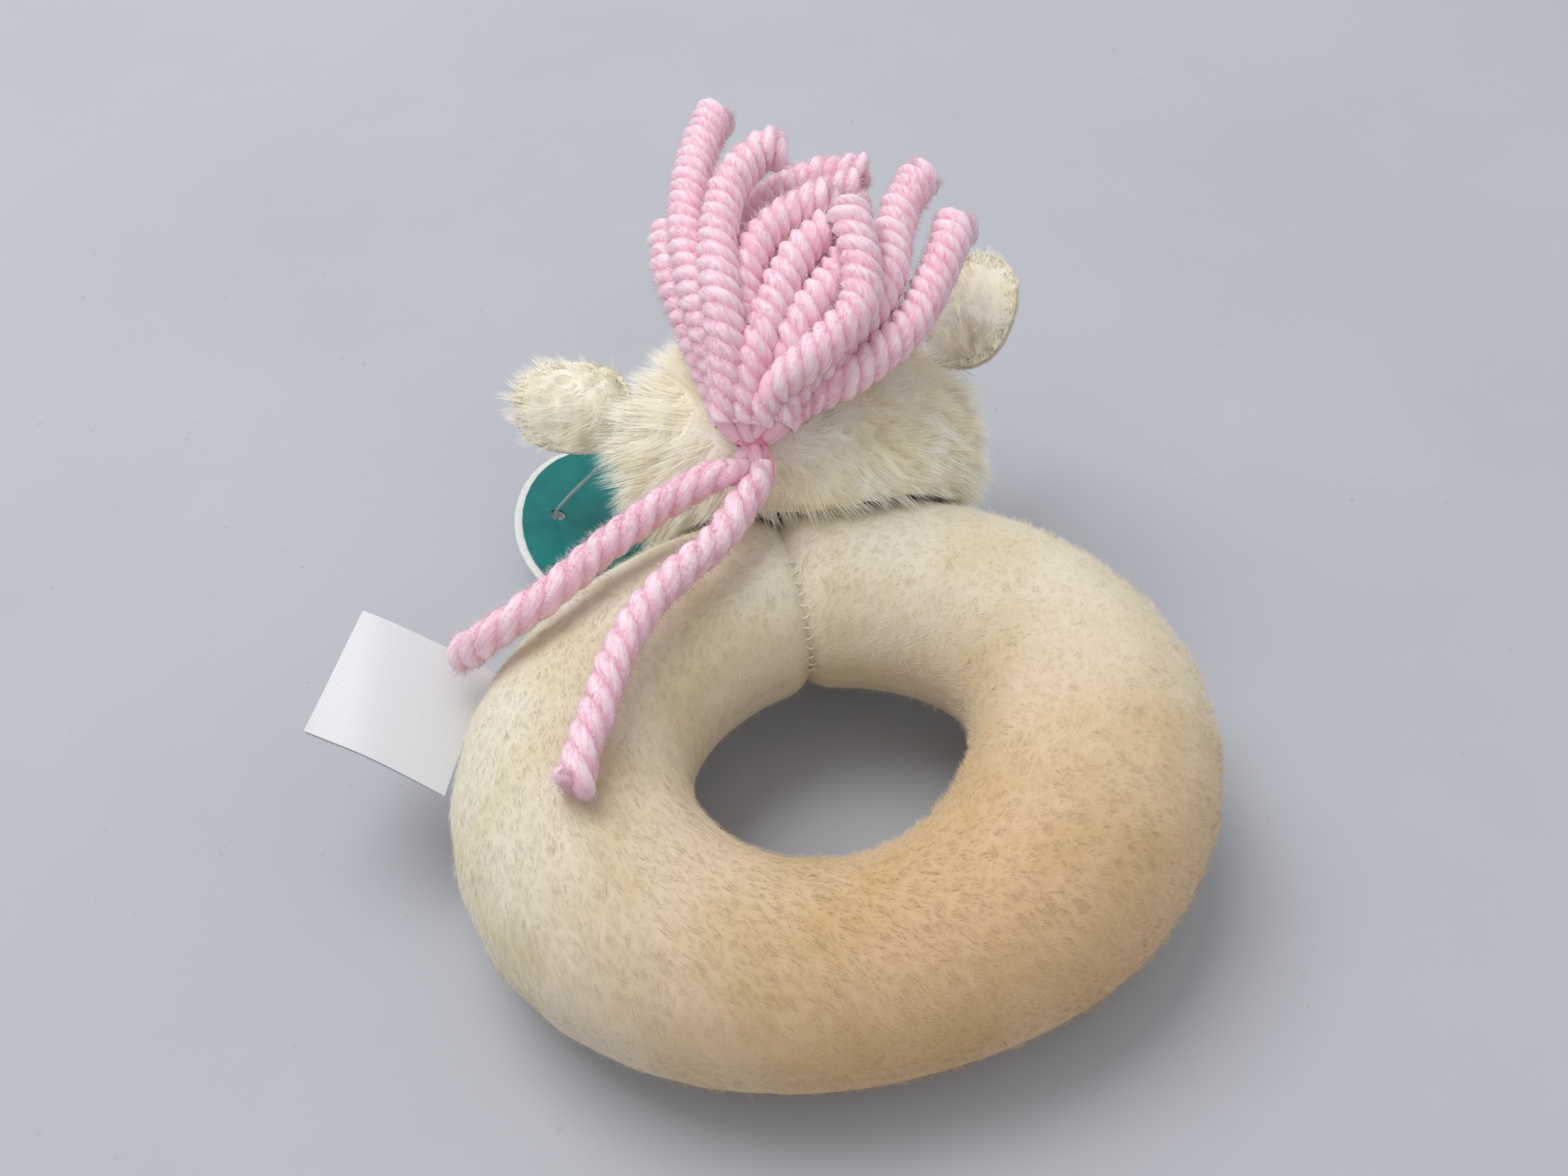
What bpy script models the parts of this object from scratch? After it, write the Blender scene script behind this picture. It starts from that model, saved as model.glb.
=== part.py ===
# Plush ring rattle lying face down: a stuffed ring, an animal's head with a yarn mane, a care
# label and a swing tag. X runs to the right, Y from the ring towards the head, Z up from the floor.
# Sizes are in metres. Places are worked out from the ring's centre, and at the end the whole toy is
# set with the middle of its box over the origin.
import math

import bmesh
import bpy
from mathutils import Matrix, Vector

MM = 0.001

# Fits
SEAT_GAP = 0.3 * MM
COVER_THICKNESS = 1.2 * MM
REST_FLAT_DEPTH = 0.5 * MM
CUT_OVERRUN = 6.0 * MM
WELD_DISTANCE = 0.001 * MM

# Ring: an oval centreline with a tube that swells and tapers round it
RING_LONG_RADIUS = 43.7 * MM
RING_SHORT_RADIUS = 34.5 * MM
RING_TURN = math.radians(18.0)
RING_TILT = math.radians(7.0)
RING_ROLL = math.radians(0.7)
RING_TUBE_RADIUS = 20.0 * MM
RING_TUBE_DEPTH_SHARE = 0.92
TOP_SEAM_ANGLE = 103.0
BOTTOM_SEAM_ANGLE = 255.0
# Angle round the ring in degrees and the tube's radius there, as a share of RING_TUBE_RADIUS
TUBE_RADIUS_SHARES = (
    (0.0, 1.06), (38.0, 0.95), (70.0, 0.91), (103.0, 0.85), (145.0, 0.915), (178.0, 0.985),
    (212.0, 1.03), (245.0, 0.94), (290.0, 0.895), (335.0, 1.04),
)
RING_DEGREES_PER_STEP = 11.0
RING_HALF_SECTION_STEPS = 8
THREAD_RADIUS = 0.4 * MM

# Muzzle, on the hidden face: it carries the head clear of the floor
MUZZLE_HALF_WIDTH = 17.0 * MM
MUZZLE_HALF_LENGTH = 13.5 * MM
MUZZLE_HALF_DEPTH = 9.0 * MM
MUZZLE_OFFSET_Y = -1.5 * MM
MUZZLE_SEGMENTS = 20
MUZZLE_RINGS = 10

# Head: it starts past the ring's outer edge and sinks back into it
HEAD_HALF_WIDTH = 33.0 * MM
HEAD_HALF_LENGTH = 27.0 * MM
HEAD_HALF_DEPTH = 24.0 * MM
HEAD_OFFSET_X = -5.0 * MM
HEAD_PAST_RING = 7.5 * MM
HEAD_SEGMENTS = 24
HEAD_RINGS = 12
HEAD_CENTRE = Vector((HEAD_OFFSET_X, RING_SHORT_RADIUS + RING_TUBE_RADIUS + HEAD_PAST_RING,
                      MUZZLE_HALF_DEPTH + HEAD_HALF_DEPTH))
HEAD_RADII = Vector((HEAD_HALF_WIDTH, HEAD_HALF_LENGTH, HEAD_HALF_DEPTH))
MUZZLE_RADII = Vector((MUZZLE_HALF_WIDTH, MUZZLE_HALF_LENGTH, MUZZLE_HALF_DEPTH))
MUZZLE_CENTRE = Vector((HEAD_CENTRE.x, HEAD_CENTRE.y + MUZZLE_OFFSET_Y, MUZZLE_HALF_DEPTH - REST_FLAT_DEPTH))

# Face, in satin stitch
EYE_RADIUS = 2.8 * MM
EYE_HEIGHT = 1.1 * MM
EYE_WIDTH_SHARE = 0.8
EYE_OFFSET_X = 14.5 * MM
EYE_OFFSET_Y = 12.0 * MM
NOSTRIL_RADIUS = 1.3 * MM
NOSTRIL_HEIGHT = 0.7 * MM
NOSTRIL_WIDTH_SHARE = 0.7
NOSTRIL_OFFSET_X = 5.0 * MM
NOSTRIL_OFFSET_Y = 9.6 * MM
STITCH_RADIUS = 0.45 * MM
MOUTH_OFFSET_Y = -7.6 * MM
MOUTH_HALF_WIDTH = 5.0 * MM
MOUTH_SAG = 2.5 * MM
MOUTH_STEPS = 8

# Ears: the root's place on the head as shares of the head's radii, the way the ear points and the
# way its furry back looks
EAR_LENGTH = 23.0 * MM
EAR_WIDTH = 18.0 * MM
EAR_BACK_DEPTH = 1.9 * MM
EAR_LINING_DEPTH = 1.0 * MM
EAR_CUP_DEPTH = 2.2 * MM
EAR_ROOT_GAP = 0.75 * MM
EAR_SQUARENESS = 2.6
EAR_SEGMENTS = 20
EAR_RINGS = 8
EAR_ROOT_SHARES = {"left": (-0.945, 0.33, 0.12), "right": (0.80, 0.45, 0.40)}
EAR_DIRECTIONS = {"left": (-0.99, 0.12, 0.0), "right": (0.31, 0.75, 0.585)}
EAR_BACK_DIRECTIONS = {"left": (-0.05, -0.60, 0.80), "right": (-0.55, -0.35, 0.75)}

# Rattle in the head: a plastic cup, its plug-in cap and three loose beads
CAPSULE_RADIUS = 11.0 * MM
CAPSULE_LENGTH = 24.0 * MM
CAPSULE_WALL = 1.2 * MM
CAP_THICKNESS = 1.5 * MM
CAP_SPIGOT_LENGTH = 3.0 * MM
CAPSULE_SEGMENTS = 24
CAPSULE_OFFSET_Y = 5.5 * MM
CAPSULE_CENTRE = HEAD_CENTRE + Vector((0.0, CAPSULE_OFFSET_Y, 0.0))
BEAD_RADIUS = 2.5 * MM
BEAD_PLACE_SHARES = (0.25, 0.5, 0.75)

# Mane: chunky twisted yarn, tied at the nape
YARN_DIAMETER = 4.9 * MM
YARN_TIED_SHARE = 0.50
YARN_TAPER_LENGTH = 20.0 * MM
TAIL_DIAMETER = 5.2 * MM
TAIL_TIED_SHARE = 0.68
TAIL_TAPER_LENGTH = 9.0 * MM
TIE_POINT = (-9, -19.25, 21.75)
TIE_DIRECTION = Vector((0.0, 0.70, 0.714)).normalized()
TIE_LENGTH = 4.0 * MM
TIE_HALF_WIDTH = 6.4 * MM
TIE_HALF_DEPTH = 4.5 * MM
TIE_SEGMENTS = 20
# Place along the tie and the tie's size there, as shares of its half length and half width
TIE_PROFILE_SHARES = ((-1.0, 0.88), (-0.4, 1.0), (0.4, 1.0), (1.0, 0.88))

# Routes of the yarn, chosen by hand in millimetres from the head's middle, each from the tie to the
# cut end. TIE_POINT is where they all meet.
MANE_ROUTES = {
    "mane_strand_01": ((-12.5, -17.5, 24), (-14, -11.5, 29), (-16.5, -3.5, 34), (-19, 6, 37.5),
                       (-20.5, 16.5, 39.5), (-20, 27, 41), (-18.5, 37.5, 41.5), (-16, 48, 41.5)),
    "mane_strand_02": ((-13.5, -15.5, 22), (-15, -10.5, 25.2), (-17.5, -4, 29), (-20.2, 3, 31.5),
                       (-23, 11.5, 33.5), (-23.5, 22, 35)),
    "mane_strand_03": ((-13.5, -19.5, 26), (-13, -14.5, 31.2), (-13.5, -7, 37), (-14.5, 2, 40.7),
                       (-14.5, 11.5, 43), (-13, 20.5, 44.5), (-9, 27.5, 45.5), (-3.5, 30, 46.5)),
    "mane_strand_04": ((-10.5, -15.5, 22), (-12, -8, 25.3), (-14.2, 2, 29.2), (-14, 12, 32.5),
                       (-11, 21.5, 34.5), (-5.5, 30, 35.5), (2.5, 35.5, 36), (12, 37.5, 35.5)),
    "mane_strand_05": ((-7.5, -15.5, 22), (-7.8, -10, 25.8), (-8.8, -2, 29.6), (-8.5, 6.5, 32.8),
                       (-7.5, 15, 35), (-3.5, 23, 36), (2.5, 28.5, 36.5), (10.5, 32, 36.5)),
    "mane_strand_06": ((-9.5, -17.5, 24), (-10, -13, 28), (-10.5, -7, 32.4), (-10.5, -0.5, 36),
                       (-9.5, 5.5, 39), (-6.5, 12, 41), (-1.5, 17, 42), (5, 20.5, 42.5)),
    "mane_strand_07": ((-10.5, -19.5, 26), (-9.5, -15, 30.8), (-7.5, -9, 35), (-5, -1.5, 37.4),
                       (-1, 7, 40), (5.5, 15, 41)),
    "mane_strand_08": ((-6.5, -17.5, 24), (-6, -14, 28), (-4, -11, 32.2), (-1, -6, 35.6),
                       (2.7, 0, 37.3), (7.5, 8.5, 37.8)),
    "mane_strand_09": ((-7.5, -19.5, 26), (-5.5, -17, 30.8), (-0.5, -14.5, 34.4), (4.5, -10.5, 36.9),
                       (8.5, -5.5, 38.8), (9.2, 1, 41.2), (8.5, 7, 43.5), (7, 14, 45.5)),
    "mane_strand_10": ((-4.5, -19.5, 26), (-1.5, -14.5, 29.8), (4.5, -8.5, 32.2), (10, -2, 34.3),
                       (13.8, 5.5, 36.8), (15.2, 14.5, 38.5), (17.5, 23, 39.5), (21, 31.5, 39.5)),
    "mane_strand_11": ((-3.5, -17.5, 24), (0, -14.2, 26.2), (6.5, -11.5, 28.8), (12.7, -7, 30.8),
                       (18.2, -1, 32.3), (21.7, 6.5, 34), (24.5, 14, 35.5), (27, 22, 36)),
    "mane_strand_12": ((-4.5, -15.5, 22), (-4.3, -10.5, 25.3), (-3.8, -4, 28.6), (-1, 2, 31),
                       (5.5, 9, 32.6), (13, 17, 33.6)),
}
TAIL_ROUTES = {
    "tail_left": ((-11.3, -21.4, 19.8), (-11.8, -22.7, 18.3), (-16.2, -23.1, 16.9), (-24.4, -26.7, 14),
                  (-33.5, -34.6, 12.1), (-41, -42.7, 10.8), (-47.8, -47.1, 8.2), (-52.9, -48.1, 4.4),
                  (-56.8, -46.4, -1)),
    "tail_right": ((-6.9, -21.5, 19.7), (-7.4, -23.6, 17.8), (-10.2, -28, 15.9), (-14.7, -35.1, 14.3),
                   (-20.8, -42.1, 13.8), (-26.2, -49.7, 12.9), (-29.6, -57.9, 11.9), (-31.8, -66.6, 10.6),
                   (-33.8, -74.1, 9.7), (-35, -81.4, 8.8)),
}
YARN_STEPS_PER_POINT = 2

# Care label: two plies of satin ribbon sewn into the ring's outer seam
LABEL_LENGTH = 25.0 * MM
LABEL_PLY = 0.3 * MM
LABEL_START_ANGLE = 167.0
LABEL_END_ANGLE = 187.0
LABEL_DIRECTION = Vector((-0.90, 0.29, 0.325))
LABEL_CURL = 1.2 * MM
LABEL_ACROSS_STEPS = 6
LABEL_ALONG_STEPS = 6

# Swing tag: two oval cards strung on a nylon tag pin
TAG_HALF_LENGTH = 20.0 * MM
TAG_HALF_WIDTH = 15.0 * MM
TAG_BORDER = 1.4 * MM
TAG_CARD = 0.4 * MM
TAG_HOLE_RADIUS = 1.5 * MM
TAG_HOLE_TO_EDGE = 6.8 * MM
TAG_HOLE_PAST_HEAD = 15.0 * MM
TAG_HOLE_OFFSET_Y = 6.5 * MM
TAG_HOLE_HEIGHT = 10.9 * MM
TAG_HOLE_PLACE = Vector((HEAD_CENTRE.x - HEAD_HALF_WIDTH - TAG_HOLE_PAST_HEAD,
                         HEAD_CENTRE.y + TAG_HOLE_OFFSET_Y, TAG_HOLE_HEIGHT))
TAG_SLOPE = math.radians(14.0)
TAG_OUTLINE_SEGMENTS = 36
TAG_HOLE_SEGMENTS = 12
PIN_RADIUS = 0.35 * MM
PIN_BAR_RADIUS = 0.5 * MM
PIN_BAR_LENGTH = 8.0 * MM
PIN_PADDLE_HALF_WIDTH = 2.6 * MM
PIN_PADDLE_THICKNESS = 0.9 * MM
PIN_CLEARANCE = 0.9 * MM
PIN_BOW = 2.0 * MM
PIN_STAND = 2.4 * MM
PIN_ANCHOR_SHARES = (-0.98, 0.16, -0.12)
PIN_SEGMENTS = 12

# Colours as linear red, green and blue
CREAM_PLUSH = (0.80, 0.76, 0.63)
CREAM_VELBOA = (0.74, 0.67, 0.50)
WADDING = (0.90, 0.90, 0.88)
SATIN_LINING = (0.62, 0.57, 0.48)
PINK_YARN = (0.87, 0.52, 0.58)
PINK_THREAD = (0.78, 0.25, 0.34)
WHITE_SATIN = (0.88, 0.88, 0.88)
TEAL_CARD = (0.02, 0.24, 0.23)
WHITE_CARD = (0.85, 0.86, 0.82)
CLEAR_NYLON = (0.80, 0.82, 0.82)
WHITE_PLASTIC = (0.85, 0.85, 0.83)
BEAD_STEEL = (0.56, 0.57, 0.58)
BROWN_THREAD = (0.05, 0.025, 0.015)


def remove_everything():
    for old in list(bpy.data.objects):
        bpy.data.objects.remove(old, do_unlink=True)


def new_collection(name):
    collection = bpy.data.collections.new(name)
    bpy.context.scene.collection.children.link(collection)
    return collection


def plain_material(name, colour, roughness, metallic=0.0):
    material = bpy.data.materials.get(name)
    if material is None:
        material = bpy.data.materials.new(name)
        material.use_nodes = True
        shader = material.node_tree.nodes["Principled BSDF"]
        shader.inputs["Base Color"].default_value = (*colour, 1.0)
        shader.inputs["Roughness"].default_value = roughness
        shader.inputs["Metallic"].default_value = metallic
    return material


def add_object(name, data, collection, material=None, location=(0.0, 0.0, 0.0)):
    obj = bpy.data.objects.new(name, data)
    collection.objects.link(obj)
    obj.location = location
    if material is not None:
        data.materials.append(material)
    return obj


def add_from_bmesh(name, bm, collection, material=None, location=(0.0, 0.0, 0.0)):
    mesh = bpy.data.meshes.new(name)
    bm.normal_update()
    bm.to_mesh(mesh)
    bm.free()
    mesh.shade_smooth()
    mesh.set_sharp_from_angle(angle=math.radians(40.0))
    return add_object(name, mesh, collection, material, location)


def add_cutter(name, bm):
    cutter = add_from_bmesh(name, bm, cutters)
    cutter.hide_render = True
    cutter.display_type = "WIRE"
    return cutter


def cut(obj, cutter, operation="DIFFERENCE"):
    modifier = obj.modifiers.new(cutter.name, "BOOLEAN")
    modifier.operation = operation
    modifier.object = cutter
    modifier.solver = "EXACT"
    return modifier


# The ring's centreline and surface

def smooth_share(degrees, table):
    # A smooth closed curve through the table's shares.
    count = len(table)
    degrees = degrees % 360.0
    here = count - 1
    for index in range(count):
        if table[index][0] <= degrees:
            here = index
    knots = []
    for index in range(here - 1, here + 3):
        angle, share = table[index % count]
        knots.append((angle + 360.0 * (index // count), share))
    (a0, s0), (a1, s1), (a2, s2), (a3, s3) = knots
    if degrees < a1:
        degrees += 360.0
    along = (degrees - a1) / (a2 - a1)
    slope1 = (s2 - s0) / (a2 - a0) * (a2 - a1)
    slope2 = (s3 - s1) / (a3 - a1) * (a2 - a1)
    square = along * along
    cube = square * along
    return ((2 * cube - 3 * square + 1) * s1 + (cube - 2 * square + along) * slope1
            + (3 * square - 2 * cube) * s2 + (cube - square) * slope2)


def ring_station(degrees):
    # The centreline's point, the way out of the ring there, and the tube's two radii.
    turned = math.radians(degrees) - RING_TURN
    radius = RING_LONG_RADIUS * RING_SHORT_RADIUS / math.hypot(
        RING_SHORT_RADIUS * math.cos(turned), RING_LONG_RADIUS * math.sin(turned))
    x = radius * math.cos(turned)
    y = radius * math.sin(turned)
    outward = Vector((x / RING_LONG_RADIUS ** 2, y / RING_SHORT_RADIUS ** 2, 0.0)).normalized()
    turn = Matrix.Rotation(RING_TURN, 3, "Z")
    half_width = RING_TUBE_RADIUS * smooth_share(degrees, TUBE_RADIUS_SHARES)
    return turn @ Vector((x, y, 0.0)), turn @ outward, half_width, half_width * RING_TUBE_DEPTH_SHARE


def ring_point_flat(degrees, section, inset=0.0):
    centre, outward, half_width, half_depth = ring_station(degrees)
    across = (half_width - inset) * math.cos(section)
    return centre + outward * across + Vector((0.0, 0.0, (half_depth - inset) * math.sin(section)))


def place_ring():
    # The ring leans on the head at its far side, and its lowest skin is pressed flat on the floor.
    lean = Matrix.Rotation(RING_ROLL, 4, "Y") @ Matrix.Rotation(RING_TILT, 4, "X")
    lowest = min((lean @ ring_point_flat(degrees, math.radians(section))).z
                 for degrees in range(0, 360, 3) for section in range(225, 315, 3))
    return Matrix.Translation((0.0, 0.0, -lowest - REST_FLAT_DEPTH)) @ lean


ring_place = place_ring()


def ring_point(degrees, section, inset=0.0):
    return ring_place @ ring_point_flat(degrees, section, inset)


def loft(rows, close_section=False, close_rows=False, caps=False):
    # Skin between rows of points, the way a sleeve is sewn between unlike sections.
    bm = bmesh.new()
    grid = [[bm.verts.new(point) for point in row] for row in rows]
    row_count = len(grid)
    section_count = len(grid[0])
    for i in range(row_count if close_rows else row_count - 1):
        for j in range(section_count if close_section else section_count - 1):
            a = grid[i][j]
            b = grid[i][(j + 1) % section_count]
            c = grid[(i + 1) % row_count][(j + 1) % section_count]
            d = grid[(i + 1) % row_count][j]
            bm.faces.new((a, b, c, d))
    if caps:
        bm.faces.new(list(reversed(grid[0])))
        bm.faces.new(grid[-1])
    bmesh.ops.recalc_face_normals(bm, faces=bm.faces)
    return bm


def point_faces_up(bm):
    # An open skin has no inside, so its faces are turned to look up.
    if sum(face.normal.z for face in bm.faces) < 0.0:
        bmesh.ops.reverse_faces(bm, faces=bm.faces)


def steps_between(start, end, per_step):
    count = max(2, round((end - start) / per_step))
    return [start + (end - start) * index / count for index in range(count + 1)]


def ring_half_panel(name, start, end, upper):
    # One of the four sewn panels: half of the tube's wall along one arc of the ring.
    side = 1.0 if upper else -1.0
    rows = []
    for degrees in steps_between(start, end, RING_DEGREES_PER_STEP):
        half_depth = ring_station(degrees)[3]
        row = []
        for inset in (0.0, COVER_THICKNESS):
            first = math.asin(SEAT_GAP / 2 / (half_depth - inset))
            step = (math.pi - 2 * first) / RING_HALF_SECTION_STEPS
            arc = [ring_point(degrees, side * (first + step * j), inset)
                   for j in range(RING_HALF_SECTION_STEPS + 1)]
            row += arc if inset == 0.0 else arc[::-1]
        rows.append(row)
    bm = loft(rows, close_section=True, caps=True)
    panel = add_from_bmesh(name, bm, toy, plain_material("cream_velboa", CREAM_VELBOA, 0.95))
    if not upper:
        cut(panel, floor_cutter)


def ring_solid_rows(stations, inset):
    count = 2 * RING_HALF_SECTION_STEPS
    return [[ring_point(degrees, 2 * math.pi * j / count, inset) for j in range(count)]
            for degrees in stations]


def ring_gap_degrees(degrees):
    # Half of the gap at a seam, as an angle at the tube's outer edge.
    return math.degrees(SEAT_GAP / 2 / (RING_SHORT_RADIUS - RING_TUBE_RADIUS / 2))


def build_ring():
    edge = ring_gap_degrees(TOP_SEAM_ANGLE)
    halves = {
        "left": (TOP_SEAM_ANGLE + edge, BOTTOM_SEAM_ANGLE - edge),
        "right": (BOTTOM_SEAM_ANGLE + edge, TOP_SEAM_ANGLE + 360.0 - edge),
    }
    for side, (start, end) in halves.items():
        ring_half_panel("ring_back_" + side, start, end, True)
        ring_half_panel("ring_front_" + side, start, end, False)
        inset = COVER_THICKNESS + SEAT_GAP
        stations = steps_between(start, end, RING_DEGREES_PER_STEP)
        bm = loft(ring_solid_rows(stations, inset), close_section=True, caps=True)
        add_from_bmesh("ring_stuffing_" + side, bm, toy, plain_material("wadding", WADDING, 1.0))


def build_closing_thread():
    # Hand stitches that close the ring over its top seam.
    rise = THREAD_RADIUS + SEAT_GAP
    points = [ring_point(TOP_SEAM_ANGLE, math.radians(section), -rise) for section in range(92, 176, 7)]
    tube_object("closing_thread", points, [THREAD_RADIUS] * len(points), "cream_thread", CREAM_PLUSH, 0.8)


# Head

def squashed_sphere(centre, radii, segments, rings):
    bm = bmesh.new()
    bmesh.ops.create_uvsphere(bm, u_segments=segments, v_segments=rings, radius=1.0)
    bmesh.ops.scale(bm, vec=radii, verts=bm.verts)
    bmesh.ops.translate(bm, vec=centre, verts=bm.verts)
    return bm


def keep_side(bm, point, normal, fill):
    # Cuts away what lies on the normal's side of a plane.
    geometry = list(bm.verts) + list(bm.edges) + list(bm.faces)
    result = bmesh.ops.bisect_plane(bm, geom=geometry, dist=WELD_DISTANCE, plane_co=point, plane_no=normal,
                                    clear_outer=True)
    if fill:
        edges = [item for item in result["geom_cut"] if isinstance(item, bmesh.types.BMEdge)]
        bmesh.ops.holes_fill(bm, edges=edges)


def grown(radii, extra):
    return Vector((radii.x + extra, radii.y + extra, radii.z + extra))


def build_head():
    plush = plain_material("cream_plush", CREAM_PLUSH, 0.95)
    wadding = plain_material("wadding", WADDING, 1.0)
    up = Vector((0.0, 0.0, 1.0))
    hollow = add_cutter("head_hollow", squashed_sphere(HEAD_CENTRE, grown(HEAD_RADII, -COVER_THICKNESS),
                                                       HEAD_SEGMENTS, HEAD_RINGS))
    filled = grown(HEAD_RADII, -COVER_THICKNESS - SEAT_GAP)
    for name, side in (("head_back", 1.0), ("head_face", -1.0)):
        seam = HEAD_CENTRE + up * (side * SEAT_GAP / 2)
        bm = squashed_sphere(HEAD_CENTRE, HEAD_RADII, HEAD_SEGMENTS, HEAD_RINGS)
        keep_side(bm, seam, up * -side, True)
        cover = add_from_bmesh(name + "_cover", bm, toy, plush)
        cut(cover, hollow)
        cut(cover, ring_cutter)
        bm = squashed_sphere(HEAD_CENTRE, filled, HEAD_SEGMENTS, HEAD_RINGS)
        keep_side(bm, seam, up * -side, True)
        filling = add_from_bmesh(name + "_stuffing", bm, toy, wadding)
        cut(filling, ring_cutter)
        cut(filling, capsule_cutter)


def build_muzzle():
    bm = squashed_sphere(MUZZLE_CENTRE, MUZZLE_RADII, MUZZLE_SEGMENTS, MUZZLE_RINGS)
    cover = add_from_bmesh("muzzle_cover", bm, toy, plain_material("cream_velboa", CREAM_VELBOA, 0.95))
    core = add_cutter("muzzle_hollow", squashed_sphere(MUZZLE_CENTRE, grown(MUZZLE_RADII, -COVER_THICKNESS),
                                                       MUZZLE_SEGMENTS, MUZZLE_RINGS))
    filled = grown(MUZZLE_RADII, -COVER_THICKNESS - SEAT_GAP)
    bm = squashed_sphere(MUZZLE_CENTRE, filled, MUZZLE_SEGMENTS, MUZZLE_RINGS)
    filling = add_from_bmesh("muzzle_stuffing", bm, toy, plain_material("wadding", WADDING, 1.0))
    cut(cover, head_cutter)
    cut(cover, core)
    cut(cover, floor_cutter)
    cut(filling, head_cutter)


def under(centre, radii, x, y):
    # A point on a swollen form's underside at a given place, and the way out of it there.
    rest = 1.0 - (x / radii.x) ** 2 - (y / radii.y) ** 2
    z = -radii.z * math.sqrt(rest)
    normal = Vector((x / radii.x ** 2, y / radii.y ** 2, z / radii.z ** 2)).normalized()
    return centre + Vector((x, y, z)), normal


def add_button(name, place, normal, radius, height, width_share):
    # A small domed patch of satin stitch.
    bm = bmesh.new()
    bmesh.ops.create_uvsphere(bm, u_segments=16, v_segments=8, radius=radius)
    keep_side(bm, Vector((0.0, 0.0, 0.0)), Vector((0.0, 0.0, -1.0)), True)
    bmesh.ops.scale(bm, vec=(width_share, 1.0, height / radius), verts=bm.verts)
    turn = normal.to_track_quat("Z", "Y").to_matrix().to_4x4()
    bmesh.ops.transform(bm, matrix=turn, verts=bm.verts)
    sag = radius ** 2 / (2 * min(HEAD_RADII))
    return add_from_bmesh(name, bm, toy, plain_material("brown_thread", BROWN_THREAD, 0.6),
                          place + normal * (SEAT_GAP + sag / 2))


def build_face():
    for side, sign in (("left", -1.0), ("right", 1.0)):
        place, normal = under(HEAD_CENTRE, HEAD_RADII, sign * EYE_OFFSET_X, EYE_OFFSET_Y)
        add_button("eye_" + side, place, normal, EYE_RADIUS, EYE_HEIGHT, EYE_WIDTH_SHARE)
        place, normal = under(MUZZLE_CENTRE, MUZZLE_RADII, sign * NOSTRIL_OFFSET_X, NOSTRIL_OFFSET_Y)
        add_button("nostril_" + side, place, normal, NOSTRIL_RADIUS, NOSTRIL_HEIGHT, NOSTRIL_WIDTH_SHARE)
    points = []
    for index in range(MOUTH_STEPS + 1):
        share = 2 * index / MOUTH_STEPS - 1.0
        x = MOUTH_HALF_WIDTH * share
        y = MOUTH_OFFSET_Y - MOUTH_SAG * (1.0 - share ** 2)
        place, normal = under(MUZZLE_CENTRE, MUZZLE_RADII, x, y)
        points.append(place + normal * (STITCH_RADIUS + SEAT_GAP))
    tube_object("mouth_stitch", points, [STITCH_RADIUS] * len(points), "brown_thread", BROWN_THREAD, 0.6)


# Ears

def beside_head(shares, gap):
    # A point that stands off the head's surface, in the direction of some shares of its radii.
    unit = Vector(shares).normalized()
    on_head = Vector(radius * share for radius, share in zip(HEAD_RADII, unit))
    normal = Vector(share / radius for radius, share in zip(HEAD_RADII, unit)).normalized()
    return HEAD_CENTRE + on_head + normal * gap


def ear_frame(side):
    length = Vector(EAR_DIRECTIONS[side]).normalized()
    back = Vector(EAR_BACK_DIRECTIONS[side])
    back = (back - length * back.dot(length)).normalized()
    width = back.cross(length)
    turn = Matrix((length, width, back)).transposed().to_4x4()
    return Matrix.Translation(beside_head(EAR_ROOT_SHARES[side], EAR_ROOT_GAP)) @ turn


def ear_half(name, side, depth, sign, material):
    # A cupped lens cut along its middle: one half of a ball swells, the other lies along the cut.
    bm = bmesh.new()
    bmesh.ops.create_uvsphere(bm, u_segments=EAR_SEGMENTS, v_segments=EAR_RINGS, radius=1.0)
    for vert in bm.verts:
        flat = math.hypot(vert.co.x, vert.co.y)
        widen = 1.0
        if flat > 0.0:
            c = abs(vert.co.x) / flat
            s = abs(vert.co.y) / flat
            widen = (c ** EAR_SQUARENESS + s ** EAR_SQUARENESS) ** (-1.0 / EAR_SQUARENESS)
        across = vert.co.y * widen
        vert.co.x = (vert.co.x * widen + 1.0) * EAR_LENGTH / 2
        vert.co.y = across * EAR_WIDTH / 2
        swell = max(0.0, vert.co.z * sign) * depth + SEAT_GAP / 2
        vert.co.z = sign * swell - EAR_CUP_DEPTH * across ** 2
    ear = add_from_bmesh(name, bm, toy, material)
    ear.matrix_world = ear_frame(side)
    return ear


def build_ears():
    plush = plain_material("cream_plush", CREAM_PLUSH, 0.95)
    lining = plain_material("satin_lining", SATIN_LINING, 0.45)
    for side in EAR_ROOT_SHARES:
        ear_half("ear_back_" + side, side, EAR_BACK_DEPTH, 1.0, plush)
        ear_half("ear_lining_" + side, side, EAR_LINING_DEPTH, -1.0, lining)


# Rattle

def turned(name, profile, segments, material):
    # Turns a profile of (radius, height) about the upright axis, then lays it along X in the head.
    mesh = bpy.data.meshes.new(name)
    count = len(profile)
    edges = [(i, i + 1) for i in range(count - 1)]
    mesh.from_pydata([(radius, 0.0, height) for radius, height in profile], edges, [])
    obj = add_object(name, mesh, toy, material)
    screw = obj.modifiers.new("turn", "SCREW")
    screw.axis = "Z"
    screw.steps = segments
    screw.render_steps = segments
    screw.use_merge_vertices = True
    screw.merge_threshold = WELD_DISTANCE
    obj.rotation_euler = (0.0, math.radians(90.0), 0.0)
    obj.location = CAPSULE_CENTRE
    return obj


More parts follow.
